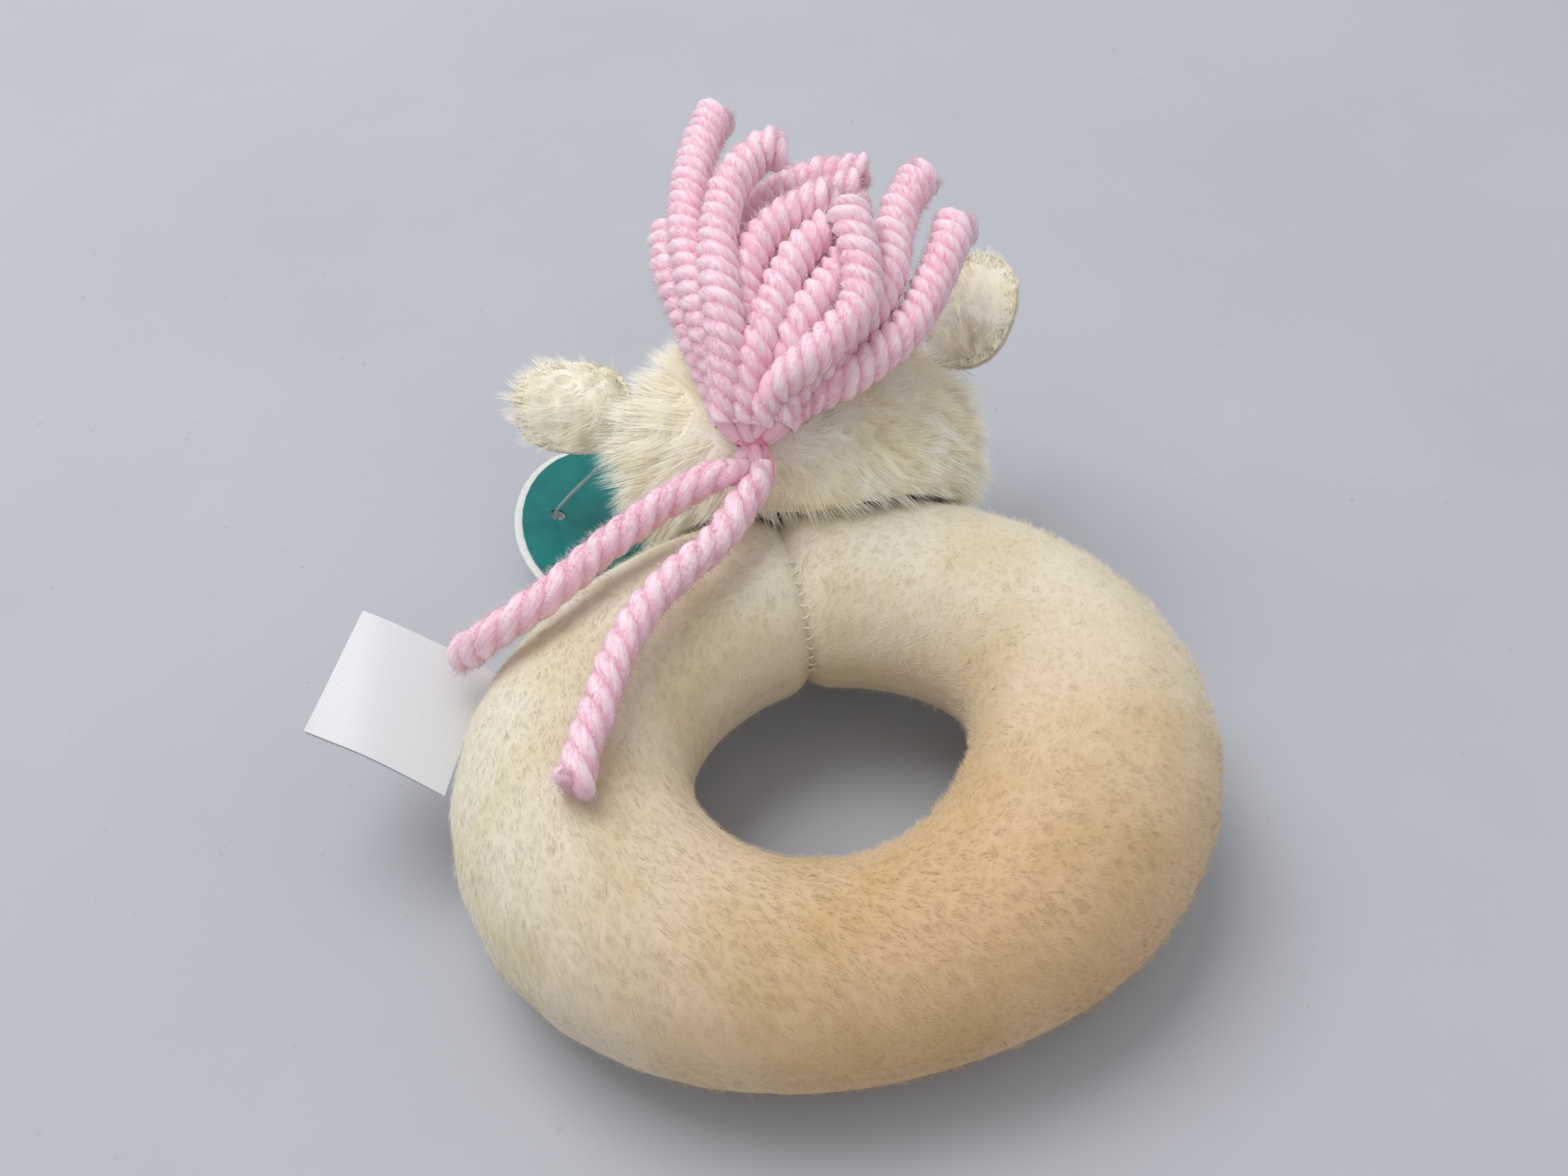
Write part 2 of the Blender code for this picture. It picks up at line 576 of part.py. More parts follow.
def build_capsule():
    plastic = plain_material("white_plastic", WHITE_PLASTIC, 0.35)
    half = CAPSULE_LENGTH / 2
    inner = CAPSULE_RADIUS - CAPSULE_WALL
    mouth = half - CAP_THICKNESS - SEAT_GAP
    turned("rattle_cup", [(0.0, -half + CAPSULE_WALL), (inner, -half + CAPSULE_WALL), (inner, mouth),
                          (CAPSULE_RADIUS, mouth), (CAPSULE_RADIUS, -half), (0.0, -half)],
           CAPSULE_SEGMENTS, plastic)
    spigot = inner - SEAT_GAP
    bore = spigot - CAPSULE_WALL
    base = half - CAP_THICKNESS
    turned("rattle_cap", [(0.0, half), (CAPSULE_RADIUS, half), (CAPSULE_RADIUS, base), (spigot, base),
                          (spigot, base - CAP_SPIGOT_LENGTH), (bore, base - CAP_SPIGOT_LENGTH), (bore, base),
                          (0.0, base)],
           CAPSULE_SEGMENTS, plastic)
    steel = plain_material("bead_steel", BEAD_STEEL, 0.25, 1.0)
    lane = inner - BEAD_RADIUS - SEAT_GAP
    spread = 2 * math.asin((2 * BEAD_RADIUS + SEAT_GAP) / (2 * lane))
    lane_start = CAPSULE_WALL + BEAD_RADIUS + SEAT_GAP - half
    lane_end = base - CAP_SPIGOT_LENGTH - BEAD_RADIUS - SEAT_GAP
    for index, share in enumerate(BEAD_PLACE_SHARES):
        angle = (index - 1) * spread
        bm = bmesh.new()
        bmesh.ops.create_icosphere(bm, subdivisions=2, radius=BEAD_RADIUS)
        along = lane_start + share * (lane_end - lane_start)
        place = CAPSULE_CENTRE + Vector((along, lane * math.sin(angle), -lane * math.cos(angle)))
        print("bead slide mm", round((lane_start - along) / MM, 2), round((lane_end - along) / MM, 2))
        add_from_bmesh("rattle_bead_" + str(index + 1), bm, toy, steel, place)


# Yarn

def smooth_route(points, steps):
    # A smooth curve through the route's own points.
    route = [Vector(p) for p in points]
    padded = [2 * route[0] - route[1], *route, 2 * route[-1] - route[-2]]
    result = []
    for i in range(len(route) - 1):
        a, b, c, d = padded[i:i + 4]
        for step in range(steps):
            t = step / steps
            result.append(0.5 * ((2 * b) + (c - a) * t + (2 * a - 5 * b + 4 * c - d) * t ** 2
                                 + (3 * b - 3 * c + d - a) * t ** 3))
    result.append(route[-1])
    return result


def tube_object(name, points, radii, material_name, colour, roughness, resolution=2):
    curve = bpy.data.curves.new(name, "CURVE")
    curve.dimensions = "3D"
    curve.bevel_depth = 1.0
    curve.bevel_resolution = resolution
    curve.use_fill_caps = True
    spline = curve.splines.new("POLY")
    spline.points.add(len(points) - 1)
    for spot, point, radius in zip(spline.points, points, radii):
        spot.co = (*point, 1.0)
        spot.radius = radius
    return add_object(name, curve, toy, plain_material(material_name, colour, roughness))


def yarn_tube(name, route, diameter, tied_share, taper_length):
    points = [HEAD_CENTRE + point * MM for point in smooth_route(route, YARN_STEPS_PER_POINT)]
    travelled = 0.0
    radii = []
    for index, point in enumerate(points):
        if index:
            travelled += (point - points[index - 1]).length
        grown_share = min(1.0, travelled / taper_length)
        radii.append(diameter / 2 * (tied_share + (1.0 - tied_share) * grown_share))
    tube_object(name, points, radii, "pink_yarn", PINK_YARN, 0.9)
    print(name, "length mm", round(travelled / MM, 1))


def build_mane():
    for name, route in MANE_ROUTES.items():
        yarn_tube(name, route, YARN_DIAMETER, YARN_TIED_SHARE, YARN_TAPER_LENGTH)
    for name, route in TAIL_ROUTES.items():
        yarn_tube(name, route, TAIL_DIAMETER, TAIL_TIED_SHARE, TAIL_TAPER_LENGTH)
    side = Vector((1.0, 0.0, 0.0))
    up = side.cross(TIE_DIRECTION)
    rows = []
    for along, share in TIE_PROFILE_SHARES:
        middle = HEAD_CENTRE + Vector(TIE_POINT) * MM + TIE_DIRECTION * (along * TIE_LENGTH / 2)
        rows.append([middle + side * (TIE_HALF_WIDTH * share * math.cos(2 * math.pi * j / TIE_SEGMENTS))
                     + up * (TIE_HALF_DEPTH * share * math.sin(2 * math.pi * j / TIE_SEGMENTS))
                     for j in range(TIE_SEGMENTS)])
    bm = loft(rows, close_section=True, caps=True)
    add_from_bmesh("mane_tie", bm, toy, plain_material("pink_thread", PINK_THREAD, 0.7))


# Care label

def label_point(across, along, ply):
    degrees = LABEL_START_ANGLE + (LABEL_END_ANGLE - LABEL_START_ANGLE) * across
    root = ring_point(degrees, 0.0, -SEAT_GAP - LABEL_PLY)
    direction = LABEL_DIRECTION.normalized()
    edge = (ring_point(LABEL_END_ANGLE, 0.0) - ring_point(LABEL_START_ANGLE, 0.0)).normalized()
    normal = edge.cross(direction).normalized()
    if normal.z < 0.0:
        normal = -normal
    lift = LABEL_CURL * math.sin(math.pi * along) - ply * (LABEL_PLY + SEAT_GAP)
    return root + direction * (LABEL_LENGTH * along) + normal * lift


def build_label():
    satin = plain_material("white_satin", WHITE_SATIN, 0.4)
    for ply, name in enumerate(("care_label_upper", "care_label_lower")):
        rows = [[label_point(j / LABEL_ACROSS_STEPS, i / LABEL_ALONG_STEPS, ply)
                 for j in range(LABEL_ACROSS_STEPS + 1)]
                for i in range(LABEL_ALONG_STEPS + 1)]
        bm = loft(rows)
        point_faces_up(bm)
        sheet = add_from_bmesh(name, bm, toy, satin)
        wall = sheet.modifiers.new("ribbon", "SOLIDIFY")
        wall.thickness = LABEL_PLY
        wall.offset = -1.0


# Swing tag

def tag_frame():
    # At the hole, with Z square to the cards and X downhill.
    return Matrix.Translation(TAG_HOLE_PLACE) @ Matrix.Rotation(TAG_SLOPE, 4, "Y")


def flat_card(name, half_length, half_width, level, material):
    curve = bpy.data.curves.new(name, "CURVE")
    curve.dimensions = "2D"
    curve.fill_mode = "BOTH"
    curve.extrude = TAG_CARD / 2
    centre_x = TAG_HALF_WIDTH - TAG_HOLE_TO_EDGE
    for count, x, wide, long in ((TAG_OUTLINE_SEGMENTS, centre_x, half_width, half_length),
                                 (TAG_HOLE_SEGMENTS, 0.0, TAG_HOLE_RADIUS, TAG_HOLE_RADIUS)):
        spline = curve.splines.new("POLY")
        spline.points.add(count - 1)
        for index, spot in enumerate(spline.points):
            angle = 2 * math.pi * index / count
            spot.co = (x + wide * math.cos(angle), long * math.sin(angle), 0.0, 1.0)
        spline.use_cyclic_u = True
    card = add_object(name, curve, toy, material)
    card.matrix_world = tag_frame() @ Matrix.Translation((0.0, 0.0, level))
    return card


def build_tag():
    flat_card("tag_front", TAG_HALF_LENGTH, TAG_HALF_WIDTH, 0.0, plain_material("teal_card", TEAL_CARD, 0.35))
    step = TAG_CARD + SEAT_GAP
    flat_card("tag_back", TAG_HALF_LENGTH + TAG_BORDER, TAG_HALF_WIDTH + TAG_BORDER, -step,
              plain_material("white_card", WHITE_CARD, 0.5))
    build_pin(step + TAG_CARD / 2)


def build_pin(under_cards):
    # A fine filament with a bar against the head and a paddle under the cards.
    up = tag_frame().to_3x3() @ Vector((0.0, 0.0, 1.0))
    paddle = TAG_HOLE_PLACE - up * (under_cards + SEAT_GAP + PIN_PADDLE_THICKNESS / 2)
    anchor = beside_head(PIN_ANCHOR_SHARES, PIN_CLEARANCE)
    stand = TAG_HOLE_PLACE + up * PIN_STAND
    middle = (anchor + stand) / 2 + up * PIN_BOW
    line = smooth_route((anchor, middle, stand, TAG_HOLE_PLACE, paddle), 3)
    tube_object("tag_pin", line, [PIN_RADIUS] * len(line), "clear_nylon", CLEAR_NYLON, 0.3)
    pin = mesh_from_curve("tag_pin")
    bm = bmesh.new()
    bmesh.ops.create_cone(bm, cap_ends=True, segments=PIN_SEGMENTS, radius1=PIN_BAR_RADIUS,
                          radius2=PIN_BAR_RADIUS, depth=PIN_BAR_LENGTH)
    bmesh.ops.transform(bm, matrix=Matrix.Rotation(math.radians(90.0), 4, "X"), verts=bm.verts)
    bmesh.ops.translate(bm, vec=anchor, verts=bm.verts)
    cut(pin, add_cutter("pin_bar", bm), "UNION")
    bm = bmesh.new()
    bmesh.ops.create_cube(bm, size=1.0)
    paddle_size = (2 * PIN_PADDLE_HALF_WIDTH, 2 * PIN_PADDLE_HALF_WIDTH, PIN_PADDLE_THICKNESS)
    bmesh.ops.scale(bm, vec=paddle_size, verts=bm.verts)
    paddle_place = Matrix.Translation(paddle) @ tag_frame().to_3x3().to_4x4()
    bmesh.ops.transform(bm, matrix=paddle_place, verts=bm.verts)
    cut(pin, add_cutter("pin_paddle", bm), "UNION")


def mesh_from_curve(name):
    # A curve takes no Boolean, so it is made a mesh with its caps welded on.
    source = bpy.data.objects[name]
    depsgraph = bpy.context.evaluated_depsgraph_get()
    mesh = bpy.data.meshes.new_from_object(source.evaluated_get(depsgraph))
    bm = bmesh.new()
    bm.from_mesh(mesh)
    bmesh.ops.remove_doubles(bm, verts=bm.verts, dist=WELD_DISTANCE)
    bm.to_mesh(mesh)
    bm.free()
    matrix = source.matrix_world.copy()
    bpy.data.objects.remove(source, do_unlink=True)
    result = add_object(name, mesh, toy)
    result.matrix_world = matrix
    return result


# Cutters: the floor, the ring and the head with their clearances, and the rattle's pocket

def floor_box():
    bm = bmesh.new()
    bmesh.ops.create_cube(bm, size=1.0)
    side = 4 * (RING_LONG_RADIUS + HEAD_RADII.y)
    bmesh.ops.scale(bm, vec=(side, side, CUT_OVERRUN), verts=bm.verts)
    bmesh.ops.translate(bm, vec=(0.0, 0.0, -CUT_OVERRUN / 2), verts=bm.verts)
    return bm


def ring_clearance():
    left = steps_between(TOP_SEAM_ANGLE, BOTTOM_SEAM_ANGLE, RING_DEGREES_PER_STEP)
    right = steps_between(BOTTOM_SEAM_ANGLE, TOP_SEAM_ANGLE + 360.0, RING_DEGREES_PER_STEP)
    return loft(ring_solid_rows(left[:-1] + right[:-1], -SEAT_GAP), close_section=True, close_rows=True)


def capsule_pocket():
    bm = bmesh.new()
    radius = CAPSULE_RADIUS + SEAT_GAP
    bmesh.ops.create_cone(bm, cap_ends=True, segments=CAPSULE_SEGMENTS, radius1=radius, radius2=radius,
                          depth=CAPSULE_LENGTH + 2 * SEAT_GAP)
    bmesh.ops.transform(bm, matrix=Matrix.Rotation(math.radians(90.0), 4, "Y"), verts=bm.verts)
    bmesh.ops.translate(bm, vec=CAPSULE_CENTRE, verts=bm.verts)
    return bm


def stand_over_origin():
    # Sets the middle of the box of everything but the yarn over the origin, on the floor.
    bpy.context.view_layer.update()
    depsgraph = bpy.context.evaluated_depsgraph_get()
    low = Vector((math.inf,) * 3)
    high = Vector((-math.inf,) * 3)
    for obj in toy.objects:
        if obj.name in MANE_ROUTES or obj.name in TAIL_ROUTES:
            continue
        evaluated = obj.evaluated_get(depsgraph)
        mesh = evaluated.to_mesh()
        for vert in mesh.vertices:
            point = obj.matrix_world @ vert.co
            low = Vector(map(min, low, point))
            high = Vector(map(max, high, point))
        evaluated.to_mesh_clear()
    holder = bpy.data.objects.new("toy_place", None)
    toy.objects.link(holder)
    for obj in list(toy.objects) + list(cutters.objects):
        if obj is not holder:
            obj.parent = holder
    holder.location = (-(low.x + high.x) / 2, -(low.y + high.y) / 2, -low.z)
    print("toy placed by mm", [round(value / MM, 3) for value in holder.location])
    print("box mm", [round(value / MM, 2) for value in high - low])


remove_everything()
toy = new_collection("plush_ring_rattle")
cutters = new_collection("cutters")
floor_cutter = add_cutter("floor_cutter", floor_box())
ring_cutter = add_cutter("ring_cutter", ring_clearance())
head_cutter = add_cutter("head_cutter", squashed_sphere(HEAD_CENTRE, grown(HEAD_RADII, SEAT_GAP),
                                                        HEAD_SEGMENTS, HEAD_RINGS))
capsule_cutter = add_cutter("capsule_cutter", capsule_pocket())
build_ring()
build_closing_thread()
build_head()
build_muzzle()
build_face()
build_ears()
build_capsule()
build_mane()
build_label()
build_tag()
stand_over_origin()
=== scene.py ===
# Plush ring rattle lying face down, its yarn mane loose over the crown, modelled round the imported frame
import math

import bmesh
import bpy
import numpy as np
from mathutils import Matrix, Vector
from mathutils.bvhtree import BVHTree
from mathutils.kdtree import KDTree


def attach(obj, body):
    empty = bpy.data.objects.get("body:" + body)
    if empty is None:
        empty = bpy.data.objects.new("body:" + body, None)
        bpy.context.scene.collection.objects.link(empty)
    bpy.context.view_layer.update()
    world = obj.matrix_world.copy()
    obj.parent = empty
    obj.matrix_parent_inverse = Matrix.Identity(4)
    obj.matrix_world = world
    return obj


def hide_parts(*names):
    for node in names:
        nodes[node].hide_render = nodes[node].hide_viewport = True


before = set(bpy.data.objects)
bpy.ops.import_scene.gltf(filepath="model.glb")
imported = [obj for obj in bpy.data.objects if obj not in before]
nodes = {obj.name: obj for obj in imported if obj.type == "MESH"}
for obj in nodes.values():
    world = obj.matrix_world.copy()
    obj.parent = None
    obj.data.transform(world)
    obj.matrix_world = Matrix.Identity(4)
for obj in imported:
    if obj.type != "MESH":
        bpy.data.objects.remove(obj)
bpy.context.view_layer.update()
mm = 0.001


def point(*place):  # millimetres to metres
    return Vector(place) * mm


# Small helpers for meshes

def deselectAll():
    if bpy.context.object and bpy.context.object.mode != "OBJECT":
        bpy.ops.object.mode_set(mode="OBJECT")
    bpy.ops.object.select_all(action="DESELECT")


def makeActive(thing):
    deselectAll()
    thing.select_set(True)
    bpy.context.view_layer.objects.active = thing


def editAll(thing, work):  # does the work in edit mode, with everything selected
    makeActive(thing)
    bpy.ops.object.mode_set(mode="EDIT")
    bpy.ops.mesh.select_all(action="SELECT")
    work()
    bpy.ops.object.mode_set(mode="OBJECT")


def applyModifier(thing, kind, **settings):
    makeActive(thing)
    modifier = thing.modifiers.new(kind.lower(), kind)
    for name, value in settings.items():
        setattr(modifier, name, value)
    bpy.ops.object.modifier_apply(modifier=modifier.name)


def wear(thing, *materials):
    thing.data.materials.clear()
    for material in materials:
        thing.data.materials.append(material)


def smoothFaces(thing, degrees=None):  # all over, or only where faces meet at less than this angle
    makeActive(thing)
    if degrees is None:
        bpy.ops.object.shade_smooth()
    else:
        bpy.ops.object.shade_smooth_by_angle(angle=math.radians(degrees))


def addObject(name, mesh):
    thing = bpy.data.objects.new(name, mesh)
    bpy.context.scene.collection.objects.link(thing)
    return thing


def copyOfNodes(name, names, weld=0.002 * mm):  # one object from CAD nodes, with corners that meet joined
    deselectAll()
    copies = [addObject(name, nodes[node].data.copy()) for node in names]
    for copy in copies:
        copy.select_set(True)
    bpy.context.view_layer.objects.active = copies[0]
    if len(copies) > 1:
        bpy.ops.object.join()
    piece = bpy.context.object
    piece.name = name
    editAll(piece, lambda: bpy.ops.mesh.remove_doubles(threshold=weld))
    return piece


def readRows(things, key, width, kind=np.float32):
    rows = np.empty(len(things) * width, kind)
    things.foreach_get(key, rows)
    return rows.reshape(-1, width)


def meshPoints(mesh):
    return readRows(mesh.vertices, "co", 3).astype(float)


def vertexNormals(mesh):
    return readRows(mesh.vertex_normals, "vector", 3).astype(float)


def cornerPoints(mesh):  # the vertex at each corner of each face
    return readRows(mesh.loops, "vertex_index", 1, np.int32).ravel()


def movePoints(mesh, places):
    mesh.vertices.foreach_set("co", np.asarray(places, np.float32).ravel())
    mesh.update()


def keepLargestPart(piece):  # a remesh of nested shells leaves small closed bubbles inside
    bm = bmesh.new()
    bm.from_mesh(piece.data)
    unseen = set(bm.verts)
    parts = []
    while unseen:
        found = [unseen.pop()]
        for vert in found:
            for edge in vert.link_edges:
                other = edge.other_vert(vert)
                if other in unseen:
                    unseen.remove(other)
                    found.append(other)
        parts.append(found)
    parts.sort(key=len, reverse=True)
    for part in parts[1:]:
        bmesh.ops.delete(bm, geom=part, context="VERTS")
    bm.to_mesh(piece.data)
    bm.free()


def unit(rows):
    return rows / np.maximum(np.linalg.norm(rows, axis=-1, keepdims=True), 1e-12)


def meshFromArrays(name, places, faces, sizes):  # faces: corner numbers end to end, sizes: corners per face
    mesh = bpy.data.meshes.new(name)
    mesh.vertices.add(len(places))
    mesh.vertices.foreach_set("co", np.asarray(places, np.float32).ravel())
    mesh.loops.add(len(faces))
    mesh.loops.foreach_set("vertex_index", np.asarray(faces, np.int32))
    mesh.polygons.add(len(sizes))
    starts = np.concatenate(([0], np.cumsum(sizes)[:-1]))
    mesh.polygons.foreach_set("loop_start", starts.astype(np.int32))
    mesh.update(calc_edges=True)
    mesh.validate()
    return addObject(name, mesh)


def addAttribute(mesh, name, values):
    attribute = mesh.attributes.new(name, "FLOAT", "POINT")
    attribute.data.foreach_set("value", np.asarray(values, np.float32))


def addMap(mesh, name, across, along):  # a UV map from one pair of numbers per vertex
    corners = cornerPoints(mesh)
    layer = mesh.uv_layers.new(name=name)
    both = np.stack([np.asarray(across)[corners], np.asarray(along)[corners]], axis=1)
    layer.uv.foreach_set("vector", both.astype(np.float32).ravel())


def treeOf(places):
    tree = KDTree(len(places))
    for number, place in enumerate(places):
        tree.insert(place, number)
    tree.balance()
    return tree


def nearestOf(tree, places):  # the nearest point's number and distance, for each place
    found = [tree.find(p) for p in places]
    return np.array([f[1] for f in found]), np.array([f[2] for f in found])


# Small helpers for materials

def hexColour(code):  # sRGB hex to the linear colour that nodes take
    parts = [int(code[i:i + 2], 16) / 255 for i in (0, 2, 4)]
    return (*[c / 12.92 if c <= 0.04045 else ((c + 0.055) / 1.055) ** 2.4 for c in parts], 1.0)


def asValue(value):  # a colour may be given as its hex code
    return hexColour(value) if isinstance(value, str) else value


def newMaterial(name):
    material = bpy.data.materials.new(name)
    material.use_nodes = True
    return material, material.node_tree, material.node_tree.nodes["Principled BSDF"]


def addNode(tree, kind, settings=None, inputs=None, stops=None):
    node = tree.nodes.new("ShaderNode" + kind)
    for name, value in (settings or {}).items():
        setattr(node, name, value)
    for name, value in (inputs or {}).items():
        if isinstance(value, bpy.types.NodeSocket):
            tree.links.new(value, node.inputs[name])
        else:
            node.inputs[name].default_value = asValue(value)
    if stops:
        elements = node.color_ramp.elements
        elements[0].position, elements[1].position = stops[0][0], stops[-1][0]
        for place, _ in stops[1:-1]:
            elements.new(place)
        for element, (_, colour) in zip(elements, stops):
            element.color = asValue(colour)
    return node


def setShader(shader, **values):
    for name, value in values.items():
        socket = shader.inputs[name.replace("_", " ")]
        if isinstance(value, bpy.types.NodeSocket):
            shader.id_data.links.new(value, socket)
        else:
            socket.default_value = asValue(value)


# A finish whose one pattern gives both its shades and its relief, which is (strength, depth in millimetres)
def patternedMaterial(name, kind, sizes, shades=None, relief=None, settings=None, output="Fac", lay=None,
                      **finish):
    material, tree, shader = newMaterial(name)
    if lay:
        spot = addNode(tree, "UVMap", {"uv_map": lay}).outputs["UV"]
    else:
        spot = addNode(tree, "TexCoord").outputs["Object"]
    pattern = addNode(tree, kind, settings, {"Vector": spot, **sizes}).outputs[output]
    if shades:
        ramp = addNode(tree, "ValToRGB", inputs={"Fac": pattern}, stops=shades)
        finish["Base_Color"] = ramp.outputs["Color"]
    if relief:
        strength, depth = relief
        bump = addNode(tree, "Bump", inputs={"Height": pattern, "Strength": strength,
                                             "Distance": depth * mm})
        finish["Normal"] = bump.outputs["Normal"]
    setShader(shader, **finish)
    return material


slanting = {"bands_direction": "DIAGONAL"}
waveStep = 0.63  # how far apart a slanting wave's bands are at scale 1

# Camera, floor and light

cameraLook = {"place": (2.601, -182.995, 246.3), "tilt": 42.0, "view": 50.0, "nearest": 0.01}

bpy.ops.object.camera_add(location=point(*cameraLook["place"]),
                          rotation=(math.radians(cameraLook["tilt"]), 0, 0))
camera = bpy.context.object
camera.data.sensor_fit = "HORIZONTAL"
camera.data.angle = math.radians(cameraLook["view"])
camera.data.clip_start = cameraLook["nearest"]
bpy.context.scene.camera = camera

studio = {
    "floorSize": 6.0, "floor": "babcc2", "floorDark": "b5b7bd", "speck": "b3b1ac",
    "cloudsPerMm": 0.009, "specksPerMm": 0.42,
    "lampPlace": (-0.50, 0.38, 1.28), "lampSize": 0.9, "lampPower": 12.2,
    "world": "f4f6fa", "worldStrength": 0.62, "backdrop": "d9dbe0",
}

bpy.ops.mesh.primitive_plane_add(size=studio["floorSize"])
floor = bpy.context.object
floor.name = "floor"
paper, tree, shader = newMaterial("matt paper board")  # uncoated board: no gloss, faint cloudy stains
spot = addNode(tree, "TexCoord").outputs["Object"]
clouds = addNode(tree, "TexNoise", inputs={"Vector": spot, "Scale": studio["cloudsPerMm"] / mm,
                                           "Detail": 5.0, "Roughness": 0.6})
specks = addNode(tree, "TexNoise", inputs={"Vector": spot, "Scale": studio["specksPerMm"] / mm,
                                           "Detail": 1.0})
cloudColour = addNode(tree, "ValToRGB", inputs={"Fac": clouds.outputs["Fac"]},
                      stops=((0.32, studio["floorDark"]), (0.62, studio["floor"])))
speckShare = addNode(tree, "ValToRGB", inputs={"Fac": specks.outputs["Fac"]},
                     stops=((0.74, (0, 0, 0, 1)), (0.80, (1, 1, 1, 1))))
mixed = addNode(tree, "Mix", {"data_type": "RGBA"},
                {"Factor": speckShare.outputs["Color"], "A": cloudColour.outputs["Color"],
                 "B": studio["speck"]})
setShader(shader, Base_Color=mixed.outputs["Result"], Roughness=0.85, Specular_IOR_Level=0.25)
wear(floor, paper)

bpy.ops.object.light_add(type="AREA", location=studio["lampPlace"])
lamp = bpy.context.object
lamp.data.size = studio["lampSize"]
lamp.data.energy = studio["lampPower"]
lamp.rotation_euler = (-Vector(studio["lampPlace"])).to_track_quat("-Z", "Y").to_euler()

world = bpy.data.worlds.new("studio")
bpy.context.scene.world = world
world.use_nodes = True
sky = world.node_tree
worldLight = sky.nodes["Background"]
worldLight.inputs["Color"].default_value = hexColour(studio["world"])
worldLight.inputs["Strength"].default_value = studio["worldStrength"]
seen = addNode(sky, "LightPath")  # what is seen, mirrored or shone through is the backdrop, not the light
seenAtAll = addNode(sky, "Math", {"operation": "ADD", "use_clamp": True},
                    {0: seen.outputs["Is Camera Ray"], 1: seen.outputs["Is Glossy Ray"]})
seenThrough = addNode(sky, "Math", {"operation": "ADD", "use_clamp": True},
                      {0: seenAtAll.outputs["Value"], 1: seen.outputs["Is Transmission Ray"]})
backdrop = addNode(sky, "Background", inputs={"Color": studio["backdrop"], "Strength": 1.0})
chosen = addNode(sky, "MixShader", inputs={0: seenThrough.outputs["Value"],
                                           1: worldLight.outputs["Background"],
                                           2: backdrop.outputs["Background"]})
sky.links.new(chosen.outputs["Shader"], sky.nodes["World Output"].inputs["Surface"])
bpy.context.scene.view_settings.view_transform = "Standard"
print("camera, floor and light are in place")


# The toy's own frame

toyShift = point(11.201, -20.395, 0)  # from the ring's centre to the row frame
headCentre = point(-5, 62, 33) + toyShift
ring = {"long": 43.7 * mm, "short": 34.5 * mm, "turn": math.radians(18), "tilt": math.radians(7),
        "roll": math.radians(0.7), "topSeam": 103.0, "bottomSeam": 255.0}
ringLean = Matrix.Rotation(ring["roll"], 4, "Y") @ Matrix.Rotation(ring["tilt"], 4, "X")


def ringStation(degrees):  # the centreline's point, the way out of the ring and the way round it
    turned = math.radians(degrees) - ring["turn"]
    radius = ring["long"] * ring["short"] / math.hypot(
        ring["short"] * math.cos(turned), ring["long"] * math.sin(turned))
    x, y = radius * math.cos(turned), radius * math.sin(turned)
    outward = Vector((x / ring["long"] ** 2, y / ring["short"] ** 2, 0)).normalized()
    turn = Matrix.Rotation(ring["turn"], 3, "Z")
    outward = turn @ outward
    return turn @ Vector((x, y, 0)), outward, Vector((0, 0, 1)).cross(outward)


ringMiddle = toyShift + point(0, 0, 21.1)
toRing = (Matrix.Translation(ringMiddle) @ ringLean).inverted()


def inRing(places):  # row frame to the ring's own flat frame
    turn = np.array(toRing.to_3x3())
    return places @ turn.T + np.array(toRing.translation)


# Yarn

yarnLook = {
    "plies": 3, "orbitShare": 0.35, "plyShare": 0.79, "sides": 20, "step": 0.5 * mm,
    "wander": 0.08, "wanderLength": 2.7 * mm, "uneven": 0.05, "unevenLength": 1.9 * mm, "jitter": 0.02,
    "frayLength": 6.0 * mm, "fraySpread": 1.0, "fraySwell": 0.02, "plyUneven": 0.9 * mm,
    "endLength": 1.9 * mm, "ridge": 0.05, "ridgeLength": 3.0 * mm, "soft": 0.45,
    "fibresPerMm": 80, "fibreLength": 2.0 * mm, "fibreWidth": 0.09 * mm,
    "brush": 190, "brushLength": 2.6 * mm, "mostPast": 1.6 * mm,
    # painted shade: from deep pink in the grooves between plies to a pale crown
    "paintedGrooveShade": 0.05, "shadeGain": 0.75, "mostShade": 0.85, "grooveAt": 0.72, "grooveWidth": 0.42,
    "cutShade": 0.6,
}
maneYarn = {"diameter": 4.9 * mm, "lead": 8.6 * mm, "tiedShare": 0.60, "taper": 14.0 * mm, "full": 1.28}
tailYarn = {"diameter": 5.2 * mm, "lead": 12.4 * mm, "tiedShare": 0.68, "taper": 8.0 * mm, "full": 1.0}
